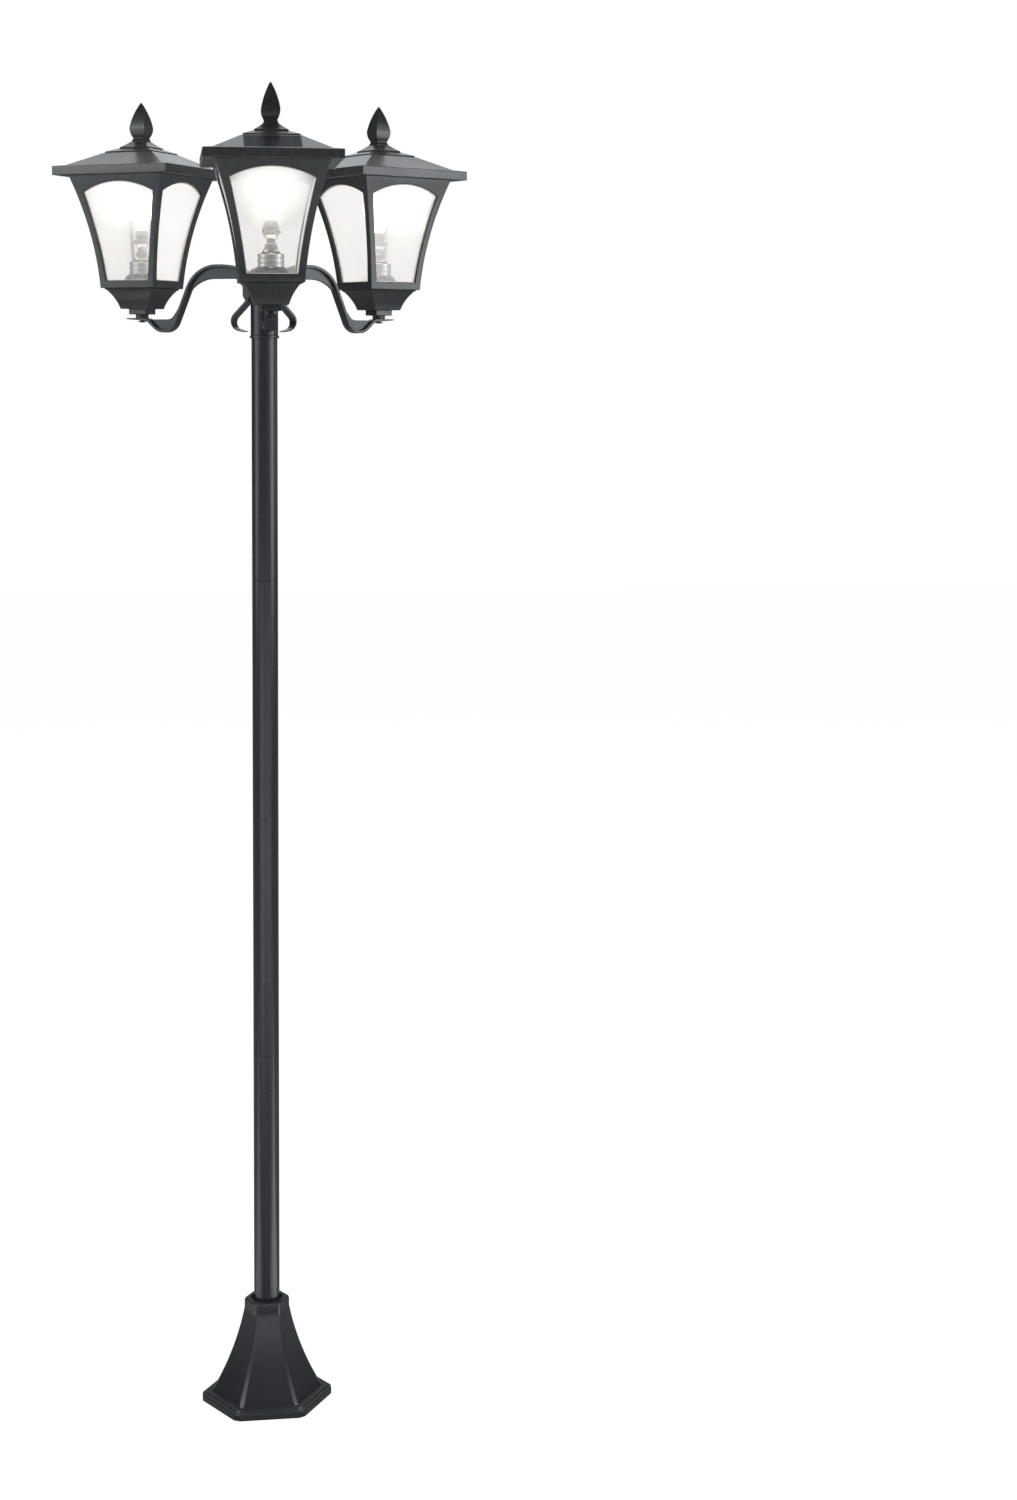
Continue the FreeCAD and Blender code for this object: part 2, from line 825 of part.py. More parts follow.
def bulb_globe():
    """The bulb's glass, a turned drum with sloped ends that stands on the bulb's base."""
    return turned_form((0, holder_top + bulb_throat_rise), [
        (bulb_throat_radius, holder_top + bulb_throat_rise),
        (globe_radius, holder_top + globe_low_rise),
        (globe_radius, holder_top + globe_high_rise),
        (globe_top_radius, holder_top + globe_top_rise),
        (0, holder_top + globe_top_rise)])


def lantern_pieces():
    return {
        "cup": cup(),
        "cage": cage(),
        "panes": panes(),
        "dish": dish(),
        "lamp_holder": lamp_holder(),
        "bulb_base": bulb_base(),
        "bulb_globe": bulb_globe(),
        "tray": tray(),
        "tray_screws": tray_screws(),
        "battery": battery(),
        "circuit_board": circuit_board(),
        "switch_button": switch_button(),
        "roof": roof(),
        "solar_panel": solar_panel(),
        "finial": finial()}


def post_pieces():
    pieces = {
        "ground_plate": ground_plate(),
        "set_screws": set_screws(),
        "base_cover": base_cover(),
        "pole_couplers": pole_couplers(),
        "hub": hub(),
        "hub_cap": hub_cap(),
        "arm_screws": arm_screws(),
        "seat_bolts": seat_bolts()}
    ends = (plate_thickness,) + seam_heights + (hub_bottom,)
    for number, (bottom, top) in enumerate(zip(ends, ends[1:]), start=1):
        pieces["pole_section_" + str(number)] = pole_section(bottom, top)
    pieces["pole_section_1"] = pieces["pole_section_1"].cut(set_screw_holes())
    arm = scroll_arm()
    for number, name in enumerate(arm_names):
        pieces[name + "_arm"] = at_arm(arm, number)
    return pieces


def save(name, piece):
    shape = Part.makeCompound(piece) if isinstance(piece, list) else piece
    shape.exportStep("parts/" + name + ".step")


os.makedirs("parts", exist_ok=True)
for name, piece in post_pieces().items():
    save(name, piece)
for name, piece in lantern_pieces().items():
    group = piece if isinstance(piece, list) else [piece]
    for number, arm_name in enumerate(arm_names):
        save(arm_name + "_" + name, [at_lantern(solid, number) for solid in group])
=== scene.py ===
import bmesh
import bpy
import json
import math
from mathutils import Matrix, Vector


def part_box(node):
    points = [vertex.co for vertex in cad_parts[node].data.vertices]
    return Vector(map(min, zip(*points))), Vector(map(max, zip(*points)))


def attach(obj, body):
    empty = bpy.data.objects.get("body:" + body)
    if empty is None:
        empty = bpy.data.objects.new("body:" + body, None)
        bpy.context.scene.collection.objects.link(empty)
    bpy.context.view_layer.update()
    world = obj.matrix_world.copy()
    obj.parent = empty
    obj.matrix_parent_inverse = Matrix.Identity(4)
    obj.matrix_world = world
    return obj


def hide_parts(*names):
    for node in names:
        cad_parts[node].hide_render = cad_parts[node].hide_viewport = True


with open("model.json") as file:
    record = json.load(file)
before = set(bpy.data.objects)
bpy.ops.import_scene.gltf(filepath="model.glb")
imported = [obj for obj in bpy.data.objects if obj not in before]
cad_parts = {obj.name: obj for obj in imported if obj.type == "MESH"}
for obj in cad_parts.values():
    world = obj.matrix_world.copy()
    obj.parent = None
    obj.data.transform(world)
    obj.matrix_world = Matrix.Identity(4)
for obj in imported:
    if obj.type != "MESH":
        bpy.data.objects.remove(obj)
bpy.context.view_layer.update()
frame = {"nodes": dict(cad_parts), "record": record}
bodyOf = {node: body for body, nodes in frame["record"]["behaviour"]["bodies"].items() for node in nodes}
armTurns = {"front": -90.0, "right": 30.0, "left": 150.0}  # degrees round the pole
lanternReach = 0.194  # from the pole's axis to each lantern's axis
squareOn = 0.9  # how much of a face's normal lies at least along the axis that the face looks at
print("frame loaded")


# selecting, editing and placing

def selectOnly(piece):
    bpy.ops.object.select_all(action="DESELECT")
    piece.select_set(True)
    bpy.context.view_layer.objects.active = piece


def openEdit(piece):
    selectOnly(piece)
    bpy.ops.object.mode_set(mode="EDIT")
    bpy.ops.mesh.select_mode(type="FACE")


def closeEdit():
    bpy.ops.object.mode_set(mode="OBJECT")


def pick(piece, kind, test):
    bpy.ops.mesh.select_mode(type=kind)
    bpy.ops.mesh.select_all(action="DESELECT")
    mesh = bmesh.from_edit_mesh(piece.data)
    chosen = {"FACE": mesh.faces, "EDGE": mesh.edges, "VERT": mesh.verts}[kind]
    for item in chosen:
        if test(item):
            item.select_set(True)
    bmesh.update_edit_mesh(piece.data)


def middle(item):
    return sum((vertex.co for vertex in item.verts), start=item.verts[0].co * 0) / len(item.verts)


def finishWith(piece, kind, **values):
    selectOnly(piece)
    modifier = piece.modifiers.new(kind.title(), kind)
    for name, value in values.items():
        setattr(modifier, name, value)
    bpy.ops.object.modifier_apply(modifier=modifier.name)


def softenEdges(piece, width, segments=2, angle=30.0):
    finishWith(piece, "BEVEL", width=width, segments=segments, limit_method="ANGLE",
               angle_limit=math.radians(angle), use_clamp_overlap=False)


smoothAngles = {"casting": 35.0, "modelled": 30.0}


def smoothFaces(piece, kind):
    angle = smoothAngles[kind]
    selectOnly(piece)
    bpy.ops.object.shade_smooth_by_angle(angle=math.radians(angle))
    finishWith(piece, "WEIGHTED_NORMAL", keep_sharp=True)


def intoPlace(piece, where=(0, 0, 0), turn=0.0, lean=0.0):
    # lean is about the piece's own Y axis and comes before the turn about the upright axis
    piece.location = where
    piece.rotation_euler = (0, math.radians(lean), math.radians(turn))
    selectOnly(piece)
    bpy.ops.object.transform_apply(location=True, rotation=True, scale=True)


def copyOf(piece, name):
    copy = bpy.data.objects.new(name, piece.data.copy())
    copy.matrix_world = piece.matrix_world
    bpy.context.scene.collection.objects.link(copy)
    return copy


def cutAway(piece, cutter):
    finishWith(piece, "BOOLEAN", object=cutter, operation="DIFFERENCE", solver="EXACT")
    bpy.data.objects.remove(cutter)


def joined(parts, name):
    bpy.ops.object.select_all(action="DESELECT")
    for part in parts:
        part.select_set(True)
    bpy.context.view_layer.objects.active = parts[0]
    bpy.ops.object.join()
    parts[0].name = name
    return parts[0]


def wear(piece, *finishes):
    piece.data.materials.clear()
    for finish in finishes:
        piece.data.materials.append(finish)


def wearSecond(piece, test):
    # the piece's second finish goes on the faces that pass the test
    openEdit(piece)
    pick(piece, "FACE", test)
    piece.active_material_index = 1
    bpy.ops.object.material_slot_assign()
    closeEdit()


def settle(piece, slotName, body, *nodes):
    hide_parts(*nodes)
    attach(piece, body)


def atArm(arm, out, side, height):
    # a place out along an arm, to its side and up, all from the foot of the post
    turn = math.radians(armTurns[arm])
    return (out * math.cos(turn) - side * math.sin(turn),
            out * math.sin(turn) + side * math.cos(turn), height)


def lanternPlace(arm, out=0.0, side=0.0, height=0.0):
    return atArm(arm, lanternReach + out, side, height)


def turnedPiece(name, steps, vertices=64):
    # a disc drawn along its axis through radius and height steps
    radius, height = steps[0]
    bpy.ops.object.select_all(action="DESELECT")
    bpy.ops.mesh.primitive_circle_add(vertices=vertices, radius=radius, fill_type="NGON", location=(0, 0, 0))
    piece = bpy.context.object
    piece.name = name
    openEdit(piece)
    bpy.ops.mesh.select_all(action="SELECT")
    bpy.ops.transform.translate(value=(0, 0, height))
    for nextRadius, nextHeight in steps[1:]:
        bpy.ops.mesh.extrude_region_move(TRANSFORM_OT_translate={"value": (0, 0, nextHeight - height)})
        ratio = nextRadius / radius
        bpy.ops.transform.resize(value=(ratio, ratio, 1), center_override=(0, 0, nextHeight))
        radius, height = nextRadius, nextHeight
    bpy.ops.mesh.select_all(action="SELECT")
    bpy.ops.mesh.normals_make_consistent(inside=False)
    closeEdit()
    return piece


def roundSteps(fromPoint, toPoint, bulge, count):
    # steps between two points of a profile that swell to one side by bulge
    steps = []
    for number in range(1, count + 1):
        share = number / count
        swell = bulge * math.sin(math.pi * share)
        steps.append((fromPoint[0] + (toPoint[0] - fromPoint[0]) * share + swell,
                      fromPoint[1] + (toPoint[1] - fromPoint[1]) * share))
    return steps


def raised(steps, height):
    return [(radius, height + rise) for radius, rise in steps]


def boxPiece(name, size, where):
    bpy.ops.object.select_all(action="DESELECT")
    bpy.ops.mesh.primitive_cube_add(size=1, location=where)
    piece = bpy.context.object
    piece.name = name
    piece.scale = size
    bpy.ops.object.transform_apply(location=True, rotation=True, scale=True)
    return piece


# shared surface effects

surfaceOutputs = ("Colour", "Roughness", "Height")
noiseSpan = (0.3, 0.7)  # most values of a noise lie between these


def newGroup(name, inputs, outputs):
    # an input is a colour if its value is one, and an output if it is named Colour
    group = bpy.data.node_groups.new(name, "ShaderNodeTree")
    kinds = {True: "NodeSocketColor", False: "NodeSocketFloat"}
    for socketName, value in inputs.items():
        kind = kinds[isinstance(value, tuple)]
        socket = group.interface.new_socket(name=socketName, in_out="INPUT", socket_type=kind)
        socket.default_value = value
    for socketName in outputs:
        kind = kinds[socketName == "Colour"]
        group.interface.new_socket(name=socketName, in_out="OUTPUT", socket_type=kind)
    source = group.nodes.new("NodeGroupInput")
    result = group.nodes.new("NodeGroupOutput")
    return group, source.outputs, result.inputs


def newMaterial(name):
    material = bpy.data.materials.new(name)
    material.use_nodes = True
    return material, material.node_tree, material.node_tree.nodes["Principled BSDF"]


def addNode(tree, kind, inputs=None, **settings):
    node = tree.nodes.new(kind)
    for name, value in settings.items():
        setattr(node, name, value)
    for name, value in (inputs or {}).items():
        if isinstance(value, bpy.types.NodeSocket):
            tree.links.new(value, node.inputs[name])
        else:
            node.inputs[name].default_value = value
    return node


def objectPlace(tree):
    return addNode(tree, "ShaderNodeTexCoord").outputs["Object"]


def heightOf(tree, place):
    return addNode(tree, "ShaderNodeSeparateXYZ", {"Vector": place}).outputs["Z"]


def noise(tree, place, scale, detail=2.0):
    node = addNode(tree, "ShaderNodeTexNoise", {"Vector": place, "Scale": scale, "Detail": detail})
    return node.outputs["Fac"]


def remap(tree, value, low, high, toLow, toHigh, kind="LINEAR"):
    node = addNode(tree, "ShaderNodeMapRange", {"Value": value, "From Min": low, "From Max": high,
                                                 "To Min": toLow, "To Max": toHigh}, interpolation_type=kind)
    return node.outputs["Result"]


def uneven(tree, source, low, high):
    # a noise, spread over a range
    return remap(tree, source, *noiseSpan, low, high)


def mixColours(tree, factor, first, second):
    # 0, 6 and 7 are the factor and the colours among the node's inputs, and 2 is its colour output
    return addNode(tree, "ShaderNodeMix", {0: factor, 6: first, 7: second}, data_type="RGBA").outputs[2]


def calculate(tree, operation, first, second):
    return addNode(tree, "ShaderNodeMath", {0: first, 1: second}, operation=operation).outputs[0]


def multiply(tree, first, second):
    return calculate(tree, "MULTIPLY", first, second)


def subtract(tree, first, second):
    return calculate(tree, "SUBTRACT", first, second)


def surfaceOf(group, given, result, colour, gloss, height):
    # ends a surface group; gloss is the noise that moves the roughness between its low and its high value
    group.links.new(colour, result["Colour"])
    group.links.new(uneven(group, gloss, given["Gloss Low"], given["Gloss High"]), result["Roughness"])
    group.links.new(height, result["Height"])
    return group


# a pair says between which values of a noise, or of an edge's sharpness, an effect grows to its full
coatingValues = {"patchScale": 9.0, "fineScale": 160.0, "edges": (0.51, 0.58), "wearAndHighlightNoise": (0.35, 0.65),
                 "leastWearAndHighlight": 0.3, "dust": (0.35, 0.7), "leastDust": 0.2, "dustFrom": 0.5}


def buildCoating():
    # sprayed powder coat: fine orange peel, uneven gloss, paler edges that are partly rubbed wear and partly
    # a painted highlight, a little dust on what faces up
    group, given, result = newGroup("powderCoating", {
        "Colour": (0.02, 0.02, 0.022, 1),
        "Wear And Highlight Colour": (0.08, 0.08, 0.085, 1),
        "Dust Colour": (0.16, 0.155, 0.15, 1),
        "Wear And Highlight": 0.4,
        "Dust": 0.1,
        "Gloss Low": 0.3,
        "Gloss High": 0.4,
        "Peel Scale": 420.0}, surfaceOutputs)
    place = objectPlace(group)
    shape = addNode(group, "ShaderNodeNewGeometry").outputs
    patches = noise(group, place, coatingValues["patchScale"], 4.0)
    fine = noise(group, place, coatingValues["fineScale"], 3.0)
    edges = remap(group, shape["Pointiness"], *coatingValues["edges"], 0.0, 1.0)
    wearAndHighlightBreakup = remap(group, fine, *coatingValues["wearAndHighlightNoise"], coatingValues["leastWearAndHighlight"], 1.0)
    # sharp edges take one paler colour that is partly rubbed wear and partly a painted highlight
    wearAndHighlight = multiply(group, multiply(group, edges, given["Wear And Highlight"]), wearAndHighlightBreakup)
    colour = mixColours(group, wearAndHighlight, given["Colour"], given["Wear And Highlight Colour"])
    upward = remap(group, heightOf(group, shape["Normal"]), coatingValues["dustFrom"], 1.0, 0.0, 1.0)
    settled = remap(group, patches, *coatingValues["dust"], coatingValues["leastDust"], 1.0)
    dusty = multiply(group, multiply(group, upward, settled), given["Dust"])
    dulled = mixColours(group, dusty, colour, given["Dust Colour"])
    return surfaceOf(group, given, result, dulled, patches, noise(group, place, given["Peel Scale"]))


oxideCloud = (0.4, 0.7)  # a pair as above


def buildTurnedMetal():
    # bare metal: fine rings round the axis and cloudy oxide
    group, given, result = newGroup("turnedMetal", {
        "Colour": (0.5, 0.5, 0.5, 1),
        "Oxide Colour": (0.3, 0.28, 0.25, 1),
        "Oxide": 0.4,
        "Cloud Scale": 60.0,
        "Gloss Low": 0.2,
        "Gloss High": 0.4,
        "Ring Scale": 900.0}, surfaceOutputs)
    place = objectPlace(group)
    cloud = noise(group, place, given["Cloud Scale"], 5.0)
    height = multiply(group, heightOf(group, place), given["Ring Scale"])
    lathe = addNode(group, "ShaderNodeTexNoise", {"W": height, "Detail": 2.0}, noise_dimensions="1D")
    rings = lathe.outputs["Fac"]
    stained = multiply(group, remap(group, cloud, *oxideCloud, 0.0, 1.0), given["Oxide"])
    colour = mixColours(group, stained, given["Colour"], given["Oxide Colour"])
    return surfaceOf(group, given, result, colour, rings, rings)


def buildMouldedSurface():
    # moulded plastic: spark grain, soft gloss changes and a faint two tone cloud
    group, given, result = newGroup("mouldedSurface", {
        "Colour": (0.05, 0.05, 0.05, 1),
        "Second Colour": (0.08, 0.08, 0.08, 1),
        "Cloud Scale": 40.0,
        "Grain Scale": 700.0,
        "Gloss Low": 0.45,
        "Gloss High": 0.6}, surfaceOutputs)
    place = objectPlace(group)
    cloud = noise(group, place, given["Cloud Scale"], 3.0)
    grain = addNode(group, "ShaderNodeTexVoronoi", {"Vector": place, "Scale": given["Grain Scale"]})
    colour = mixColours(group, uneven(group, cloud, 0.0, 1.0), given["Colour"], given["Second Colour"])
    return surfaceOf(group, given, result, colour, cloud, grain.outputs["Distance"])


coating = buildCoating()
turnedMetal = buildTurnedMetal()
mouldedSurface = buildMouldedSurface()
bumpDepth = 0.0002  # metres


def newFinish(name, group, values, bump=0.1, **shaderValues):
    material, tree, shader = newMaterial(name)
    effect = addNode(tree, "ShaderNodeGroup", values, node_tree=group)
    tree.links.new(effect.outputs["Colour"], shader.inputs["Base Color"])
    tree.links.new(effect.outputs["Roughness"], shader.inputs["Roughness"])
    relief = addNode(tree, "ShaderNodeBump", {"Height": effect.outputs["Height"], "Strength": bump,
                                               "Distance": bumpDepth})
    tree.links.new(relief.outputs["Normal"], shader.inputs["Normal"])
    for socketName, value in shaderValues.items():
        shader.inputs[socketName.replace("_", " ")].default_value = value
    return material


polePaint = newFinish("polePaint", coating, {
    "Colour": (0.0098, 0.0108, 0.0142, 1), "Wear And Highlight Colour": (0.04, 0.04, 0.043, 1), "Gloss Low": 0.24,
    "Gloss High": 0.3, "Dust": 0.05}, bump=0.05, Specular_IOR_Level=0.4)
castPaint = newFinish("castPaint", coating, {
    "Colour": (0.0098, 0.0108, 0.0138, 1), "Wear And Highlight Colour": (0.05, 0.05, 0.054, 1), "Gloss Low": 0.26,
    "Gloss High": 0.34, "Dust": 0.08, "Peel Scale": 300.0}, bump=0.06, Specular_IOR_Level=0.4)
lanternPaint = newFinish("lanternPaint", coating, {
    "Colour": (0.0112, 0.0115, 0.0136, 1), "Wear And Highlight Colour": (0.06, 0.06, 0.062, 1), "Gloss Low": 0.28,
    "Gloss High": 0.36, "Dust": 0.12, "Peel Scale": 360.0}, bump=0.06, Specular_IOR_Level=0.45)
zincSteel = newFinish("zincSteel", turnedMetal, {
    "Colour": (0.5, 0.51, 0.53, 1), "Gloss Low": 0.25, "Gloss High": 0.42, "Oxide": 0.3}, Metallic=1.0)
blackSteel = newFinish("blackSteel", turnedMetal, {
    "Colour": (0.03, 0.03, 0.032, 1), "Oxide Colour": (0.06, 0.055, 0.05, 1), "Gloss Low": 0.3,
    "Gloss High": 0.45}, Metallic=0.6)
reflectorMetal = newFinish("reflectorMetal", turnedMetal, {
    "Colour": (0.07, 0.07, 0.07, 1), "Oxide Colour": (0.05, 0.05, 0.05, 1), "Gloss Low": 0.07,
    "Gloss High": 0.13, "Oxide": 0.2}, bump=0.02, Metallic=1.0, Sheen_Weight=0.7, Sheen_Roughness=0.12)
clearPlastic = newFinish("clearPlastic", mouldedSurface, {
    "Colour": (0.95, 0.93, 0.91, 1), "Second Colour": (0.9, 0.87, 0.85, 1), "Gloss Low": 0.15,
    "Gloss High": 0.22, "Grain Scale": 300.0}, bump=0.02, Transmission_Weight=1.0, IOR=1.14)
holderMetal = newFinish("holderMetal", turnedMetal, {
    "Colour": (0.46, 0.45, 0.43, 1), "Oxide Colour": (0.3, 0.28, 0.26, 1), "Gloss Low": 0.34,
    "Gloss High": 0.46}, Metallic=1.0)
blackPlastic = newFinish("blackPlastic", mouldedSurface, {
    "Colour": (0.03, 0.03, 0.03, 1), "Second Colour": (0.045, 0.045, 0.045, 1)}, bump=0.15)
buttonPlastic = newFinish("buttonPlastic", mouldedSurface, {
    "Colour": (0.3, 0.03, 0.025, 1), "Second Colour": (0.36, 0.05, 0.04, 1), "Gloss Low": 0.3,
    "Gloss High": 0.4})
batteryWrap = newFinish("batteryWrap", mouldedSurface, {
    "Colour": (0.03, 0.16, 0.09, 1), "Second Colour": (0.04, 0.2, 0.12, 1), "Gloss Low": 0.16,
    "Gloss High": 0.24, "Grain Scale": 90.0}, bump=0.04)
# the seal's pale colour is a painted highlight along the edges of the panes
sealHighlightPlastic = newFinish("sealHighlightPlastic", mouldedSurface, {
    "Colour": (0.62, 0.6, 0.57, 1), "Second Colour": (0.55, 0.53, 0.5, 1), "Gloss Low": 0.3,
    "Gloss High": 0.45, "Grain Scale": 300.0}, bump=0.05)
boardLaminate = newFinish("boardLaminate", mouldedSurface, {
    "Colour": (0.015, 0.12, 0.04, 1), "Second Colour": (0.02, 0.16, 0.05, 1), "Gloss Low": 0.25,
    "Gloss High": 0.4, "Grain Scale": 500.0}, bump=0.05)
cellSilicon = newFinish("cellSilicon", mouldedSurface, {
    "Colour": (0.008, 0.009, 0.013, 1), "Second Colour": (0.013, 0.015, 0.021, 1), "Gloss Low": 0.2,
    "Gloss High": 0.26, "Grain Scale": 60.0}, bump=0.02, Specular_IOR_Level=0.015)
cellBacking = newFinish("cellBacking", mouldedSurface, {
    "Colour": (0.02, 0.02, 0.022, 1), "Second Colour": (0.03, 0.03, 0.033, 1), "Gloss Low": 0.2,
    "Gloss High": 0.28}, bump=0.02, Specular_IOR_Level=0.02)


# the painted sheen, a pale glow on the panes, grows from sheenFrom to sheenTo, which say how much aslant a
# pane is seen, from 0 to 1
paneValues = {"bulbHeight": 1.71, "rippleScale": 22.0, "rippleStrength": 0.1, "rippleDepth": 0.002,
              "leastGlare": 0.92, "tone": (0.1, 0.1, 0.1, 1), "roughness": 0.05, "sheenFrom": 0.08,
              "sheenTo": 0.45, "sheen": 0.6, "sheenColour": (0.8, 0.79, 0.77, 1)}


def buildGlare():
    # painted light of the bulbs on the panes: a dense white glow near each bulb, a faint grey cover farther
    # out
    group, given, result = newGroup("glare", {
        "Near": 0.057,
        "Far": 0.094,
        "Near Glare": 0.75,
        "Far Glare": 0.12,
        "Near Colour": (1, 0.985, 0.96, 1),
        "Far Colour": (0.46, 0.45, 0.43, 1)}, ("Glare Cover", "Colour", "Height"))
    place = objectPlace(group)
    bulbs = [lanternPlace(arm, height=paneValues["bulbHeight"]) for arm in armTurns]
    apart = [addNode(group, "ShaderNodeVectorMath", {0: place, 1: bulb}, operation="DISTANCE")
             for bulb in bulbs]
    nearest = apart[0].outputs["Value"]
    for other in apart[1:]:
        nearest = calculate(group, "MINIMUM", nearest, other.outputs["Value"])
    fade = remap(group, nearest, given["Near"], given["Far"], 0.0, 1.0, "SMOOTHSTEP")
    ripple = noise(group, place, paneValues["rippleScale"], 3.0)
    glareCover = remap(group, fade, 0.0, 1.0, given["Near Glare"], given["Far Glare"])
    rippled = multiply(group, glareCover, uneven(group, ripple, paneValues["leastGlare"], 1.0))
    group.links.new(rippled, result["Glare Cover"])
    group.links.new(mixColours(group, fade, given["Near Colour"], given["Far Colour"]), result["Colour"])
    group.links.new(ripple, result["Height"])
    return group


def buildPaneGlass(name):
    # clear sheet with the painted glow of the bulbs, a painted sheen that makes it paler where seen aslant,
    # and faint ripples
    material, tree, shader = newMaterial(name)
    glare = addNode(tree, "ShaderNodeGroup", node_tree=buildGlare())
    facing = addNode(tree, "ShaderNodeLayerWeight", {"Blend": 0.5}).outputs["Facing"]
    sheen = remap(tree, facing, paneValues["sheenFrom"], paneValues["sheenTo"], 0.0, paneValues["sheen"])
    clear = multiply(tree, subtract(tree, 1.0, glare.outputs["Glare Cover"]), subtract(tree, 1.0, sheen))
    tree.links.new(subtract(tree, 1.0, clear), shader.inputs["Alpha"])
    glareAndSheenColour = mixColours(tree, remap(tree, sheen, 0.0, paneValues["sheen"], 0.0, 1.0), glare.outputs["Colour"],
                        paneValues["sheenColour"])
    tree.links.new(glareAndSheenColour, shader.inputs["Emission Color"])
    relief = addNode(tree, "ShaderNodeBump", {
        "Height": glare.outputs["Height"], "Strength": paneValues["rippleStrength"],
        "Distance": paneValues["rippleDepth"]})
    tree.links.new(relief.outputs["Normal"], shader.inputs["Normal"])
    shader.inputs["Base Color"].default_value = paneValues["tone"]
    shader.inputs["Roughness"].default_value = paneValues["roughness"]
    # the panes glow with painted bulb light and a painted sheen
    shader.inputs["Emission Strength"].default_value = 1.0
    return material


glowValues = {"strength": 9.0, "foot": 1.65, "middle": 1.69, "footColour": (1.0, 0.78, 0.52, 1),
              "colour": (1.0, 0.89, 0.74, 1), "frostScale": 300.0, "smoothest": 0.3, "roughest": 0.5}


def buildGlow(name):
    # frosted glass round the light, a little warmer at its foot
    material, tree, shader = newMaterial(name)
    place = objectPlace(tree)
    rise = remap(tree, heightOf(tree, place), glowValues["foot"], glowValues["middle"], 0.0, 1.0)
    warm = mixColours(tree, rise, glowValues["footColour"], glowValues["colour"])
    tree.links.new(warm, shader.inputs["Emission Color"])
    tree.links.new(warm, shader.inputs["Base Color"])
    frost = noise(tree, place, glowValues["frostScale"])
    rough = uneven(tree, frost, glowValues["smoothest"], glowValues["roughest"])
    tree.links.new(rough, shader.inputs["Roughness"])
    shader.inputs["Emission Strength"].default_value = glowValues["strength"]
    return material


paneGlass = buildPaneGlass("paneGlass")
bulbGlow = buildGlow("bulbGlow")
print("finishes ready")


# castings and sheet pieces keep the CAD form and get their cast radii and smooth faces

cadValues = {"mergeGap": 0.00002, "flatAngle": 0.3}


def openCopy(node, name):
    # a copy of a CAD node, open for editing, whose faces share their corners
    piece = bpy.data.objects.new(name, frame["nodes"][node].data.copy())
    bpy.context.scene.collection.objects.link(piece)
    openEdit(piece)
    bpy.ops.mesh.select_all(action="SELECT")
    bpy.ops.mesh.remove_doubles(threshold=cadValues["mergeGap"])
    return piece


def casting(node, name, finish, slotName, edge, segments=2):
    piece = openCopy(node, name)
    bpy.ops.mesh.dissolve_limited(angle_limit=math.radians(cadValues["flatAngle"]))
    closeEdit()
    softenEdges(piece, edge, segments)
    smoothFaces(piece, "casting")
    wear(piece, finish)
    settle(piece, slotName, bodyOf[node], node)


# the width of the softened edges
castSizes = {"pole": 0.0003, "hub": 0.0008, "cap": 0.0008, "arm": 0.0008, "plate": 0.0006, "cover": 0.0008,
             "coupler": 0.0006}
for number in ("1", "2", "3", "4"):
    casting("pole_section_" + number, "poleSection" + number, polePaint, "pole_paint", castSizes["pole"])
casting("base_cover", "baseCover", castPaint, "cast_paint", castSizes["cover"])
casting("pole_couplers", "poleCouplers", zincSteel, "zinc_steel", castSizes["coupler"])
casting("hub", "hubBody", castPaint, "cast_paint", castSizes["hub"])
casting("hub_cap", "hubCap", castPaint, "cast_paint", castSizes["cap"])
casting("ground_plate", "groundPlate", polePaint, "pole_paint", castSizes["plate"])
for arm in armTurns:
    casting(arm + "_arm", arm + "Arm", castPaint, "cast_paint", castSizes["arm"], 3)
print("pole, hub and arms ready")

# for each node the title, the finish, the slot and the width of the softened edges
lanternCastings = {
    "cup": ("Cup", lanternPaint, "lantern_paint", 0.0009),
    "cage": ("Cage", lanternPaint, "lantern_paint", 0.0009),
    "roof": ("Roof", lanternPaint, "lantern_paint", 0.0009),
    "finial": ("Finial", lanternPaint, "lantern_paint", 0.0007),
    "tray": ("Tray", blackPlastic, "black_plastic", 0.0003),
    "panes": ("Panes", paneGlass, "clear_glass", 0.0003),
    "switch_button": ("SwitchButton", buttonPlastic, "button_plastic", 0.0004)}
for arm in armTurns:
    for node, (title, finish, slotName, edge) in lanternCastings.items():
        casting(arm + "_" + node, arm + title, finish, slotName, edge)
print("lantern castings ready")


# a seal round every window, between the cage and the pane, whose pale colour is a painted highlight along the
# panes' edges

# slant is the most that a lining face's normal has along its wall's own; least is the shortest edge moved
sealSizes = {"depth": 0.002, "width": 0.001, "edge": 0.0002, "wall": 0.005, "windowLow": 1.5779,
             "windowHigh": 1.7151, "slant": 0.02, "least": 0.003}


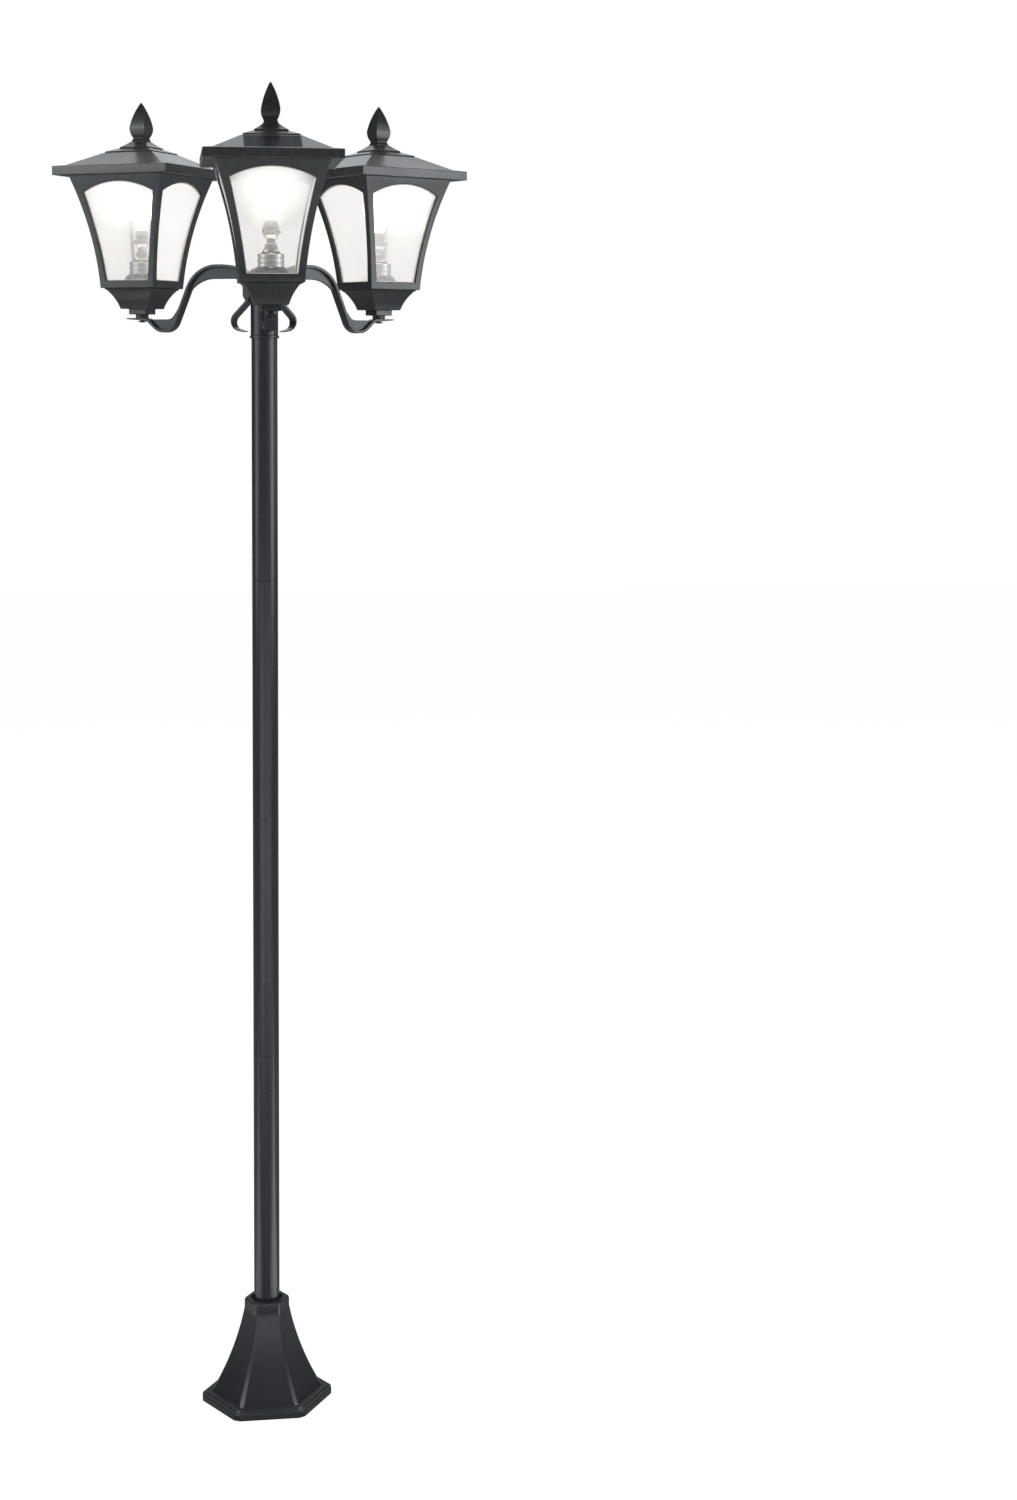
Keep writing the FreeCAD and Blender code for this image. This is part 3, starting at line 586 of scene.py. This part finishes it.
def windowSeal():
    # made of the faces that line the front cage's windows
    piece = openCopy("front_cage", "windowSeal")
    centre = lanternPlace("front")

    def wallOf(item):
        # 0 or 1 for the two directions in which the walls face
        where = middle(item) if hasattr(item, "verts") else item.co
        return 0 if abs(where.x - centre[0]) > abs(where.y - centre[1]) else 1

    def lines(face):
        return (abs(face.normal[wallOf(face)]) < sealSizes["slant"]
                and sealSizes["windowLow"] < middle(face).z < sealSizes["windowHigh"])

    def outside(vertex, wall, side):
        reach = vertex.co[wall] - centre[wall]
        spans = [edge.other_vert(vertex).co[wall] - vertex.co[wall] for edge in vertex.link_edges]
        return (wallOf(vertex) == wall and reach * side > 0
                and min(span * side for span in spans) < -sealSizes["least"])

    pick(piece, "FACE", lambda face: not lines(face))
    bpy.ops.mesh.delete(type="FACE")
    for wall in (0, 1):
        for side in (-1, 1):
            pick(piece, "VERT", lambda vertex: outside(vertex, wall, side))
            inward = [0.0, 0.0, 0.0]
            inward[wall] = side * (sealSizes["depth"] - sealSizes["wall"])
            bpy.ops.transform.translate(value=inward)
    closeEdit()
    finishWith(piece, "SOLIDIFY", thickness=sealSizes["width"], offset=1.0, use_even_offset=True)
    softenEdges(piece, sealSizes["edge"])
    return piece


seal = windowSeal()
smoothFaces(seal, "casting")
for arm in armTurns:
    piece = copyOf(seal, arm + "WindowSeals")
    intoPlace(piece, turn=armTurns[arm] - armTurns["front"])
    wear(piece, sealHighlightPlastic)
    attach(piece, bodyOf[arm + "_cage"])
bpy.data.objects.remove(seal)
print("window seals ready")


# dish, lamp holder and bulb, turned about the lantern's axis; profiles are (radius, height) in metres

# the rim is measured from the floor
dishSizes = {"floor": 1.5705, "top": 1.5875, "topRadius": 0.0182, "holeRadius": 0.004, "crownRadius": 0.0264,
             "crownTurn": 4.7, "crownSteps": 10,
             "rim": ((0.0262, 0.0), (0.0274, 0.0006), (0.0274, 0.0018), (0.0266, 0.0024))}


def lampDish():
    top = dishSizes["top"]
    steps = raised(dishSizes["rim"], dishSizes["floor"])
    foot = steps[-1][1]
    angles = [math.radians(dishSizes["crownTurn"] * number) for number in range(dishSizes["crownSteps"])]
    for angle in angles:
        steps.append((dishSizes["crownRadius"] * math.cos(angle),
                      foot + (top - foot) * math.sin(angle) / math.sin(angles[-1])))
    steps += [(dishSizes["topRadius"], top), (dishSizes["holeRadius"], top)]
    piece = turnedPiece("lampDish", steps)
    wear(piece, reflectorMetal)
    return piece


# ribs, coneFoot and clearFrom are measured from the dish's top, coneHead and mouth from the holder's
holderSizes = {"top": 1.6185, "clearFrom": 0.0181, "coneBulge": -0.0012, "coneSteps": 7,
               "coneFoot": (0.0130, 0.0184), "coneHead": (0.0082, -0.0012),
               "mouth": ((0.0080, 0.0), (0.0050, 0.0), (0.0050, -0.018)),
               "ribs": ((0.0168, 0.0), (0.0175, 0.0007), (0.0175, 0.0042), (0.0168, 0.0048),
                        (0.0168, 0.0062), (0.0175, 0.0068), (0.0175, 0.0108), (0.0168, 0.0114),
                        (0.0168, 0.0128), (0.0175, 0.0134), (0.0175, 0.0170), (0.0166, 0.0180),
                        (0.0132, 0.0182))}


def lampHolder():
    base = dishSizes["top"]
    top = holderSizes["top"]
    footRadius, footRise = holderSizes["coneFoot"]
    headRadius, headRise = holderSizes["coneHead"]
    steps = raised(holderSizes["ribs"], base)
    steps += roundSteps((footRadius, base + footRise), (headRadius, top + headRise), holderSizes["coneBulge"],
                        holderSizes["coneSteps"])
    steps += raised(holderSizes["mouth"], top)
    piece = turnedPiece("lampHolder", steps)
    wear(piece, holderMetal, clearPlastic)
    wearSecond(piece, lambda face: middle(face).z > base + holderSizes["clearFrom"])
    return piece


# measured from the holder's top
bulbBaseSizes = {"stem": ((0.0044, -0.017), (0.00495, -0.0164), (0.00495, 0.0), (0.0058, 0.0002),
                          (0.0062, 0.0008), (0.0062, 0.0026)),
                 "flare": (0.0134, 0.0144), "flareBulge": -0.0014, "flareSteps": 8,
                 "rim": ((0.0136, 0.0155), (0.0128, 0.0165)),
                 "throat": (0.0080, 0.0295), "throatBulge": -0.0006, "throatSteps": 6, "height": 0.0310}


def bulbBase():
    sizes = bulbBaseSizes
    steps = list(sizes["stem"])
    steps += roundSteps(steps[-1], sizes["flare"], sizes["flareBulge"], sizes["flareSteps"])
    steps += sizes["rim"]
    steps += roundSteps(steps[-1], sizes["throat"], sizes["throatBulge"], sizes["throatSteps"])
    steps.append((sizes["throat"][0], sizes["height"]))
    piece = turnedPiece("bulbBase", raised(steps, holderSizes["top"]))
    wear(piece, clearPlastic)
    return piece


# centre is measured from the top of the base, and the ball is cut off this far below its centre
globeSizes = {"radius": 0.0225, "centre": 0.0335, "cut": 0.0195, "neckRadius": 0.0080, "neckLength": 0.006,
              "segments": 64, "rings": 40}


def bulbGlobe():
    # a glass ball on a short neck
    radius = globeSizes["radius"]
    throat = holderSizes["top"] + bulbBaseSizes["height"]
    centre = throat + globeSizes["centre"]
    cut = centre - globeSizes["cut"]
    neck = cut - globeSizes["neckLength"]
    bpy.ops.object.select_all(action="DESELECT")
    bpy.ops.mesh.primitive_uv_sphere_add(segments=globeSizes["segments"], ring_count=globeSizes["rings"],
                                         radius=radius, location=(0, 0, 0))
    piece = bpy.context.object
    piece.name = "bulbGlobe"
    openEdit(piece)
    bpy.ops.mesh.select_all(action="SELECT")
    bpy.ops.transform.translate(value=(0, 0, centre))
    bpy.ops.mesh.bisect(plane_co=(0, 0, cut), plane_no=(0, 0, 1), clear_inner=True, use_fill=True)
    pick(piece, "FACE", lambda face: face.normal.z < -squareOn)
    ratio = globeSizes["neckRadius"] / math.sqrt(radius ** 2 - globeSizes["cut"] ** 2)
    bpy.ops.mesh.extrude_region_move(TRANSFORM_OT_translate={"value": (0, 0, neck - cut)})
    bpy.ops.transform.resize(value=(ratio, ratio, 1), center_override=(0, 0, neck))
    bpy.ops.mesh.extrude_region_move(TRANSFORM_OT_translate={"value": (0, 0, throat - neck)})
    bpy.ops.mesh.select_all(action="SELECT")
    bpy.ops.mesh.normals_make_consistent(inside=False)
    closeEdit()
    wear(piece, bulbGlow)
    return piece


masters = {
    "dish": (lampDish(), "reflector_metal", "Dish"),
    "lamp_holder": (lampHolder(), "holder_metal", "LampHolder"),
    "bulb_base": (bulbBase(), "clear_glass", "BulbBase"),
    "bulb_globe": (bulbGlobe(), "opal_glass", "BulbGlobe")}
for node, (master, slotName, title) in masters.items():
    smoothFaces(master, "modelled")
    for arm in armTurns:
        piece = copyOf(master, arm + title)
        intoPlace(piece, lanternPlace(arm))
        settle(piece, slotName, bodyOf[arm + "_" + node], arm + "_" + node)
    bpy.data.objects.remove(master)
print("bulbs and holders ready")


# screws and bolts

# shares of the radius and height of shank or head; the dome is drawn in steps of domeTurn degrees
screwShape = {"tip": 0.8, "taper": 0.2, "seat": 0.97, "seatEdge": 0.1, "side": 0.35, "flat": 0.55,
              "domeRise": 0.67, "domeTurn": 15, "domeSteps": 5, "vertices": 32}


def screwBlank(name, head, shank):
    # turned about the Z axis, with the seat of its head at the origin; head and shank are (radius, length)
    headRadius, headHeight = head
    shankRadius, shankLength = shank
    shape = screwShape
    steps = [(shankRadius * shape["tip"], -shankLength),
             (shankRadius, shankRadius * shape["taper"] - shankLength), (shankRadius, 0),
             (headRadius * shape["seat"], 0), (headRadius, headHeight * shape["seatEdge"]),
             (headRadius, headHeight * shape["side"])]
    for number in range(1, shape["domeSteps"] + 1):
        angle = math.radians(shape["domeTurn"] * number)
        steps.append((headRadius * (shape["flat"] + (1 - shape["flat"]) * math.cos(angle)),
                      headHeight * (shape["side"] + shape["domeRise"] * math.sin(angle))))
    return turnedPiece(name, steps, shape["vertices"])


def hexCutter(across, depth, top):
    bpy.ops.object.select_all(action="DESELECT")
    bpy.ops.mesh.primitive_cylinder_add(vertices=6, radius=across / math.sqrt(3), depth=depth * 2,
                                        location=(0, 0, top))
    return bpy.context.object


def spread(master, name, finish, slotName, nodes, places):
    # copies of a master, one joined piece for each node; a place is (where, turn, lean)
    smoothFaces(master, "modelled")
    for node in nodes:
        parts = []
        for where, turn, lean in places[node]:
            part = copyOf(master, name)
            intoPlace(part, where, turn, lean)
            parts.append(part)
        piece = joined(parts, node.replace("_", " ").title().replace(" ", ""))
        wear(piece, finish)
        settle(piece, slotName, bodyOf[node], node)
    bpy.data.objects.remove(master)


armScrewSizes = {"head": (0.0026, 0.0017), "shank": (0.00158, 0.0081), "key": 0.002, "keyDepth": 0.0011,
                 "out": 0.0238, "side": 0.0053, "height": 1.5665}
armScrew = screwBlank("armScrew", armScrewSizes["head"], armScrewSizes["shank"])
cutAway(armScrew, hexCutter(armScrewSizes["key"], armScrewSizes["keyDepth"], armScrewSizes["head"][1]))
armScrewPlaces = [(atArm(arm, armScrewSizes["out"], side * armScrewSizes["side"], armScrewSizes["height"]),
                   armTurns[arm], 90.0) for arm in armTurns for side in (-1, 1)]
spread(armScrew, "armScrew", blackSteel, "black_steel", ["arm_screws"], {"arm_screws": armScrewPlaces})

setScrewSizes = {"profile": ((0.0015, -0.0062), (0.0025, -0.00558), (0.0025, -0.0003), (0.0022, 0.0)),
                 "vertices": 32, "key": 0.0025, "keyDepth": 0.002, "out": 0.018, "height": 0.03}
setScrew = turnedPiece("setScrew", setScrewSizes["profile"], setScrewSizes["vertices"])
cutAway(setScrew, hexCutter(setScrewSizes["key"], setScrewSizes["keyDepth"], 0.0))
setScrewPlaces = [((0, side * setScrewSizes["out"], setScrewSizes["height"]), side * 90.0, 90.0)
                  for side in (-1, 1)]
spread(setScrew, "setScrew", zincSteel, "zinc_steel", ["set_screws"], {"set_screws": setScrewPlaces})

trayScrewSizes = {"head": (0.0029, 0.0018), "shank": (0.00148, 0.0099), "slot": (0.0036, 0.0007, 0.002),
                  "corner": 0.06}
trayScrew = screwBlank("trayScrew", trayScrewSizes["head"], trayScrewSizes["shank"])
length, width, depth = trayScrewSizes["slot"]
for size in ((length, width, depth), (width, length, depth)):
    cutAway(trayScrew, boxPiece("slot", size, (0, 0, trayScrewSizes["head"][1])))
corner = trayScrewSizes["corner"]
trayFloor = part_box("front_tray")[0].z
trayScrewPlaces = {arm + "_tray_screws": [(lanternPlace(arm, side * corner, side * corner, trayFloor),
                                           armTurns[arm], 180.0) for side in (-1, 1)] for arm in armTurns}
spread(trayScrew, "trayScrew", blackSteel, "black_steel", list(trayScrewPlaces), trayScrewPlaces)

# the head is measured from the foot of the bolt's node, nut and dome from the floor of the cage;
# nutFoot and nutHead are a share of the nut's radius and the height of the slope there
seatBoltSizes = {"head": ((0.00186, -0.0022), (0.00434, -0.00176), (0.00589, -0.00077), (0.0062, -0.00022),
                          (0.005952, 0.0)),
                 "shank": 0.003, "inNut": 0.0001, "vertices": 40, "nutAcross": 0.01, "nutHeight": 0.0036,
                 "nutFoot": (0.9, 0.0004), "nutHead": (0.86, 0.0005),
                 "dome": ((0.004508, 0.0032), (0.0046, 0.0036), (0.00368, 0.0044), (0.00184, 0.0049)),
                 "domeHeight": 0.005, "domeVertices": 32}


def seatBolt():
    # a domed bolt up through the tab and the cup, with a cap nut on the floor of the cage
    low, high = (corner.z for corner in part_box("seat_bolts"))
    floor = high - seatBoltSizes["domeHeight"]
    shank = seatBoltSizes["shank"]
    steps = raised(seatBoltSizes["head"], low) + [(shank, low), (shank, floor + seatBoltSizes["inNut"])]
    bolt = turnedPiece("seatBolt", steps, seatBoltSizes["vertices"])
    across = seatBoltSizes["nutAcross"] / math.sqrt(3)
    footShare, footEdge = seatBoltSizes["nutFoot"]
    headShare, headEdge = seatBoltSizes["nutHead"]
    nutTop = floor + seatBoltSizes["nutHeight"]
    nut = turnedPiece("capNut", [(across * footShare, floor), (across, floor + footEdge),
                                 (across, nutTop - headEdge), (across * headShare, nutTop)], 6)
    dome = turnedPiece("nutDome", raised(seatBoltSizes["dome"], floor), seatBoltSizes["domeVertices"])
    return joined([bolt, nut, dome], "seatBolt")


spread(seatBolt(), "seatBolt", blackSteel, "black_steel", ["seat_bolts"],
       {"seat_bolts": [(lanternPlace(arm), armTurns[arm], 0.0) for arm in armTurns]})
print("screws and bolts ready")


# what the roof carries: a solar panel outside, a battery cell and a circuit board on the tray

# the slopes round the cells lie half as deep as the cells, and so above the share deepest
panelSizes = {"length": 0.037, "width": 0.073, "thickness": 0.002, "tilt": 26.323, "border": 0.0014,
              "gap": 0.0005, "cellDepth": 0.00015, "deepest": 0.7, "edge": 0.0002, "edgeAngle": 60,
              "rows": 3, "columns": 6}


def solarPanel():
    # a flat laminate with rows of dark cells, each set a little below the frame
    length = panelSizes["length"]
    width = panelSizes["width"]
    border = panelSizes["border"]
    top = panelSizes["thickness"] / 2
    deep = top - panelSizes["cellDepth"] * panelSizes["deepest"]
    piece = boxPiece("solarPanel", (length, width, panelSizes["thickness"]), (0, 0, 0))

    def facesUp(face):
        return face.normal.z > squareOn

    def insideBorder(face):
        where = middle(face)
        return facesUp(face) and abs(where.x) < length / 2 - border and abs(where.y) < width / 2 - border

    openEdit(piece)
    pick(piece, "FACE", facesUp)
    bpy.ops.mesh.inset(thickness=border, depth=0)
    for across, count, size in (((1, 0, 0), panelSizes["rows"], length),
                                ((0, 1, 0), panelSizes["columns"], width)):
        inner = size - 2 * border
        for number in range(1, count):
            place = -inner / 2 + inner * number / count
            pick(piece, "FACE", insideBorder)
            bpy.ops.mesh.bisect(plane_co=[place * part for part in across], plane_no=across)
    pick(piece, "FACE", insideBorder)
    bpy.ops.mesh.inset(thickness=panelSizes["gap"], depth=-panelSizes["cellDepth"], use_individual=True)
    closeEdit()
    wear(piece, cellBacking, cellSilicon)
    wearSecond(piece, lambda face: facesUp(face) and middle(face).z < deep)
    softenEdges(piece, panelSizes["edge"], angle=panelSizes["edgeAngle"])
    return piece


# foot is measured from the cell's lower end, head from the sleeve's upper end, contact from the cell's
batterySizes = {"length": 0.065, "vertices": 48,
                "foot": ((0.0072, 0.0003), (0.00738, 0.0), (0.00855, 0.0), (0.009, 0.0006)),
                "head": ((0.009, -0.0035), (0.008775, -0.003), (0.008775, -0.0024), (0.009, -0.0019),
                         (0.009, -0.0006), (0.00855, 0.0), (0.00738, 0.0), (0.0072, -0.0003),
                         (0.0032, -0.0003)),
                "contact": ((0.0032, -0.0002), (0.00288, 0.0)), "contactHeight": 0.0012, "bareRadius": 0.0073,
                "bareDepth": 0.0004}


def batteryCell():
    # a cell in a shrink sleeve that turns over the edge of each end, with a raised contact
    half = batterySizes["length"] / 2
    top = half - batterySizes["contactHeight"]
    steps = raised(batterySizes["foot"], -half) + raised(batterySizes["head"], top)
    steps += raised(batterySizes["contact"], half)
    piece = turnedPiece("batteryCell", steps, batterySizes["vertices"])

    def bare(face):
        reach = max(math.hypot(vertex.co.x, vertex.co.y) for vertex in face.verts)
        return abs(middle(face).z) > top - batterySizes["bareDepth"] and reach < batterySizes["bareRadius"]

    wear(piece, batteryWrap, zincSteel)
    wearSecond(piece, bare)
    return piece


# heights are measured from the top of the board, and a place is (along, across, height); canFoot and
# canHead are shares of a can's radius with heights from its foot and from its head
boardSizes = {"size": (0.056, 0.036, 0.0016), "edge": 0.0001,
              "chip": (0.0086, 0.006, 0.0014), "chipPlace": (-0.004, 0.004, 0.001), "chipEdge": 0.0002,
              "leg": (0.0005, 0.0014, 0.0012), "legs": 4, "legStep": 0.0019, "legReach": 0.0036,
              "legHeight": 0.0006,
              "cans": (((0.014, 0.008, 0), 0.004, 0.0075), ((0.015, -0.005, 0), 0.003, 0.0058)),
              "canFoot": ((0.9, 0.0), (1.0, 0.0005)),
              "canHead": ((1.0, -0.0012), (0.95, -0.0009), (1.0, -0.0006), (0.9, 0.0)),
              "chokePlace": (-0.017, 0.007, 0),
              "choke": ((0.0046, 0.0), (0.0048, 0.0006), (0.0036, 0.0012), (0.0036, 0.0036), (0.0048, 0.0042),
                        (0.0045, 0.0048), (0.0016, 0.0048), (0.0016, 0.004)),
              "connector": (0.010, 0.0055, 0.005), "connectorPlace": (-0.018, -0.011, 0.0025),
              "connectorWall": 0.0007, "connectorDepth": 0.004, "connectorEdge": 0.0002,
              "resistor": (0.0022, 0.0012, 0.0006), "resistorPlace": (-0.008, -0.011, 0.0003),
              "resistorStep": (0.0036, 0.003), "resistorEdge": 0.0001, "resistors": 6, "vertices": 32}


def circuitBoard():
    # the charger board: a chip with legs, two capacitors, a choke, a wire connector and small parts
    sizes = boardSizes
    top = sizes["size"][2] / 2
    parts = []

    def add(part, finish, edge=None):
        if edge:
            softenEdges(part, edge)
        wear(part, finish)
        parts.append(part)

    def onBoard(place, along=0.0, across=0.0):
        return (place[0] + along, place[1] + across, top + place[2])

    add(boxPiece("board", sizes["size"], (0, 0, 0)), boardLaminate, sizes["edge"])
    add(boxPiece("chip", sizes["chip"], onBoard(sizes["chipPlace"])), blackPlastic, sizes["chipEdge"])
    legPlace = sizes["chipPlace"][:2] + (sizes["legHeight"],)
    for side in (-1, 1):
        for number in range(sizes["legs"]):
            along = (number - (sizes["legs"] - 1) / 2) * sizes["legStep"]
            add(boxPiece("leg", sizes["leg"], onBoard(legPlace, along, side * sizes["legReach"])), zincSteel)
    for place, radius, height in sizes["cans"]:
        steps = list(sizes["canFoot"]) + raised(sizes["canHead"], height)
        can = turnedPiece("can", [(radius * share, rise) for share, rise in steps], sizes["vertices"])
        intoPlace(can, onBoard(place))
        add(can, batteryWrap)
    choke = turnedPiece("choke", sizes["choke"], sizes["vertices"])
    intoPlace(choke, onBoard(sizes["chokePlace"]))
    add(choke, blackPlastic)
    connector = boxPiece("connector", sizes["connector"], onBoard(sizes["connectorPlace"]))
    openEdit(connector)
    pick(connector, "FACE", lambda face: face.normal.y < -squareOn)
    bpy.ops.mesh.inset(thickness=sizes["connectorWall"], depth=-sizes["connectorDepth"])
    closeEdit()
    add(connector, buttonPlastic, sizes["connectorEdge"])
    along, across = sizes["resistorStep"]
    for number in range(sizes["resistors"]):
        where = onBoard(sizes["resistorPlace"], along * number, across * (number % 2))
        add(boxPiece("resistor", sizes["resistor"], where), blackPlastic, sizes["resistorEdge"])
    return joined(parts, "circuitBoard")


def centreOf(node):
    low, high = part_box(node)
    return (low + high) / 2


def carried(master, node, slotName, title, lean):
    smoothFaces(master, "modelled")
    for arm in armTurns:
        centre = centreOf(arm + "_" + node)
        piece = copyOf(master, arm + title)
        intoPlace(piece, centre, armTurns[arm], lean)
        settle(piece, slotName, bodyOf[arm + "_" + node], arm + "_" + node)
    bpy.data.objects.remove(master)


carried(solarPanel(), "solar_panel", "solar_cell", "SolarPanel", panelSizes["tilt"])
carried(batteryCell(), "battery", "battery_wrap", "Battery", 90.0)
carried(circuitBoard(), "circuit_board", "board_laminate", "CircuitBoard", 0.0)
print("solar panels, batteries and boards ready")


# floor, backdrop, light and camera

stageValues = {"floorSide": 24.0, "floorTone": 0.2, "cloudTone": 0.194, "cloudScale": 1.5, "floorGlow": 0.88,
               "floorRoughness": 0.9, "mirrored": 0.12, "skyLight": 0.54}


def raysThatSee(tree, mirrored):
    # 1 for the camera and through glass, mirrored for reflections, 0 for all other light
    light = addNode(tree, "ShaderNodeLightPath").outputs
    straight = calculate(tree, "MAXIMUM", light["Is Camera Ray"], light["Is Transmission Ray"])
    return calculate(tree, "MAXIMUM", straight, multiply(tree, light["Is Glossy Ray"], mirrored))


def buildFloorPaper(name):
    # matt paper that the camera sees as nearly white, whatever light falls on it
    material, tree, shader = newMaterial(name)
    tones = [(stageValues[tone],) * 3 + (1,) for tone in ("floorTone", "cloudTone")]
    cloud = noise(tree, objectPlace(tree), stageValues["cloudScale"])
    tree.links.new(mixColours(tree, cloud, *tones), shader.inputs["Base Color"])
    shader.inputs["Roughness"].default_value = stageValues["floorRoughness"]
    shader.inputs["Specular IOR Level"].default_value = 0.0
    shine = addNode(tree, "ShaderNodeEmission", {"Color": (1, 1, 1, 1)})
    glow = multiply(tree, raysThatSee(tree, stageValues["mirrored"]), stageValues["floorGlow"])
    tree.links.new(glow, shine.inputs["Strength"])
    both = addNode(tree, "ShaderNodeAddShader", {0: shader.outputs[0], 1: shine.outputs[0]})
    tree.links.new(both.outputs[0], tree.nodes["Material Output"].inputs["Surface"])
    return material


bpy.ops.object.select_all(action="DESELECT")
bpy.ops.mesh.primitive_plane_add(size=stageValues["floorSide"], location=(0, 0, 0))
floor = bpy.context.object
floor.name = "studioFloor"
wear(floor, buildFloorPaper("floorPaper"))

world = bpy.data.worlds.new("studio")
bpy.context.scene.world = world
world.use_nodes = True
sky = world.node_tree
skyStrength = remap(sky, raysThatSee(sky, 0.0), 0.0, 1.0, stageValues["skyLight"], 1.0)
isMirror = addNode(sky, "ShaderNodeLightPath").outputs["Is Glossy Ray"]
dimmed = remap(sky, isMirror, 0.0, 1.0, 1.0, stageValues["mirrored"] / stageValues["skyLight"])
sky.links.new(multiply(sky, skyStrength, dimmed), sky.nodes["Background"].inputs["Strength"])
sky.nodes["Background"].inputs["Color"].default_value = (1, 1, 1, 1)
bpy.context.scene.view_settings.view_transform = "Standard"


lightValues = {"cameraTurn": -92.6, "colour": (0.93, 0.96, 1.0), "floorGap": 0.003}


def softLight(name, side, distance, height, width, tall, strength, aimHeight):
    # a rectangle of light; side is its angle round the post from the direction of the camera, in degrees
    angle = math.radians(side + lightValues["cameraTurn"])
    data = bpy.data.lights.new(name, "AREA")
    data.shape = "RECTANGLE"
    data.size = width
    data.size_y = tall
    data.energy = strength * math.pi * width * tall
    data.color = lightValues["colour"]
    lamp = bpy.data.objects.new(name, data)
    bpy.context.scene.collection.objects.link(lamp)
    lamp.location = (distance * math.cos(angle), distance * math.sin(angle), height)
    aim = Vector((0, 0, aimHeight)) - lamp.location
    lamp.rotation_euler = aim.to_track_quat("-Z", "Y").to_euler()
    lamp.visible_camera = False
    return lamp


def floorLight(name, side, distance, width, deep, strength):
    # the same, lying on the floor and shining up, for what reflects in the foot of the pole
    gap = lightValues["floorGap"]
    lamp = softLight(name, side, distance, gap, width, deep, strength, gap)
    lamp.rotation_euler = (math.pi, 0, math.radians(side + lightValues["cameraTurn"] + 90.0))


# side, distance, height, width, tall, strength, aimHeight
softLights = {
    "leftPanel": (-76.0, 1.5, 1.5, 0.8, 1.0, 2.9, 1.5),
    "rightPanel": (70.0, 1.5, 1.5, 0.8, 1.0, 4.7, 1.5),
    "rightFrontPanel": (40.0, 1.8, 1.75, 0.8, 1.0, 0.8, 1.7),
    "farRightPanel": (112.0, 1.5, 1.8, 1.0, 1.3, 0.5, 1.8),
    "leftLowPanel": (-32.0, 1.5, 0.55, 0.9, 0.95, 1.7, 0.8),
    "rightLowPanel": (36.0, 1.5, 0.55, 0.9, 0.95, 1.1, 0.8),
    "frontPanel": (4.0, 3.3, 0.46, 2.4, 0.8, 1.3, 0.8),
    "frontLowPanel": (4.0, 2.6, 0.1, 2.2, 0.16, 2.6, 0.8),
    "leftHighPanel": (-57.0, 4.0, 2.72, 2.6, 1.5, 5.4, 0.1),
    "rightHighPanel": (62.0, 4.0, 2.72, 2.6, 1.5, 4.0, 0.1),
    "backPanel": (180.0, 3.2, 4.3, 3.2, 4.0, 1.3, 1.75),
    "overPanel": (180.0, 1.0, 4.4, 2.6, 1.6, 1.8, 1.75)}
# side, distance, width, deep, strength
floorLights = {
    "leftFloorPanel": (-76.0, 1.0, 0.5, 1.3, 2.0),
    "rightFloorPanel": (69.0, 1.0, 0.5, 1.3, 3.8)}
for name, values in softLights.items():
    softLight(name, *values)
for name, values in floorLights.items():
    floorLight(name, *values)

cameraSizes = {"aside": 0.3393, "back": 3.4, "height": 1.4644, "turn": -8.264, "pitch": 2.8, "roll": 0.132,
               "lens": 58.6776, "sensor": 36.0, "shiftY": -0.1787, "nearest": 0.1, "farthest": 60.0}
cameraData = bpy.data.cameras.new("camera")
cameraData.lens = cameraSizes["lens"]
cameraData.sensor_width = cameraSizes["sensor"]
cameraData.shift_y = cameraSizes["shiftY"]
cameraData.clip_start = cameraSizes["nearest"]
cameraData.clip_end = cameraSizes["farthest"]
camera = bpy.data.objects.new("camera", cameraData)
bpy.context.scene.collection.objects.link(camera)
turn = Matrix.Rotation(math.radians(cameraSizes["turn"]), 4, "Z")
place = Matrix.Translation((cameraSizes["aside"], -cameraSizes["back"], cameraSizes["height"]))
tilt = Matrix.Rotation(math.radians(90 - cameraSizes["pitch"]), 4, "X")
roll = Matrix.Rotation(math.radians(cameraSizes["roll"]), 4, "Z")
camera.matrix_world = turn @ place @ tilt @ roll
bpy.context.scene.camera = camera
print("stage, light and camera ready")
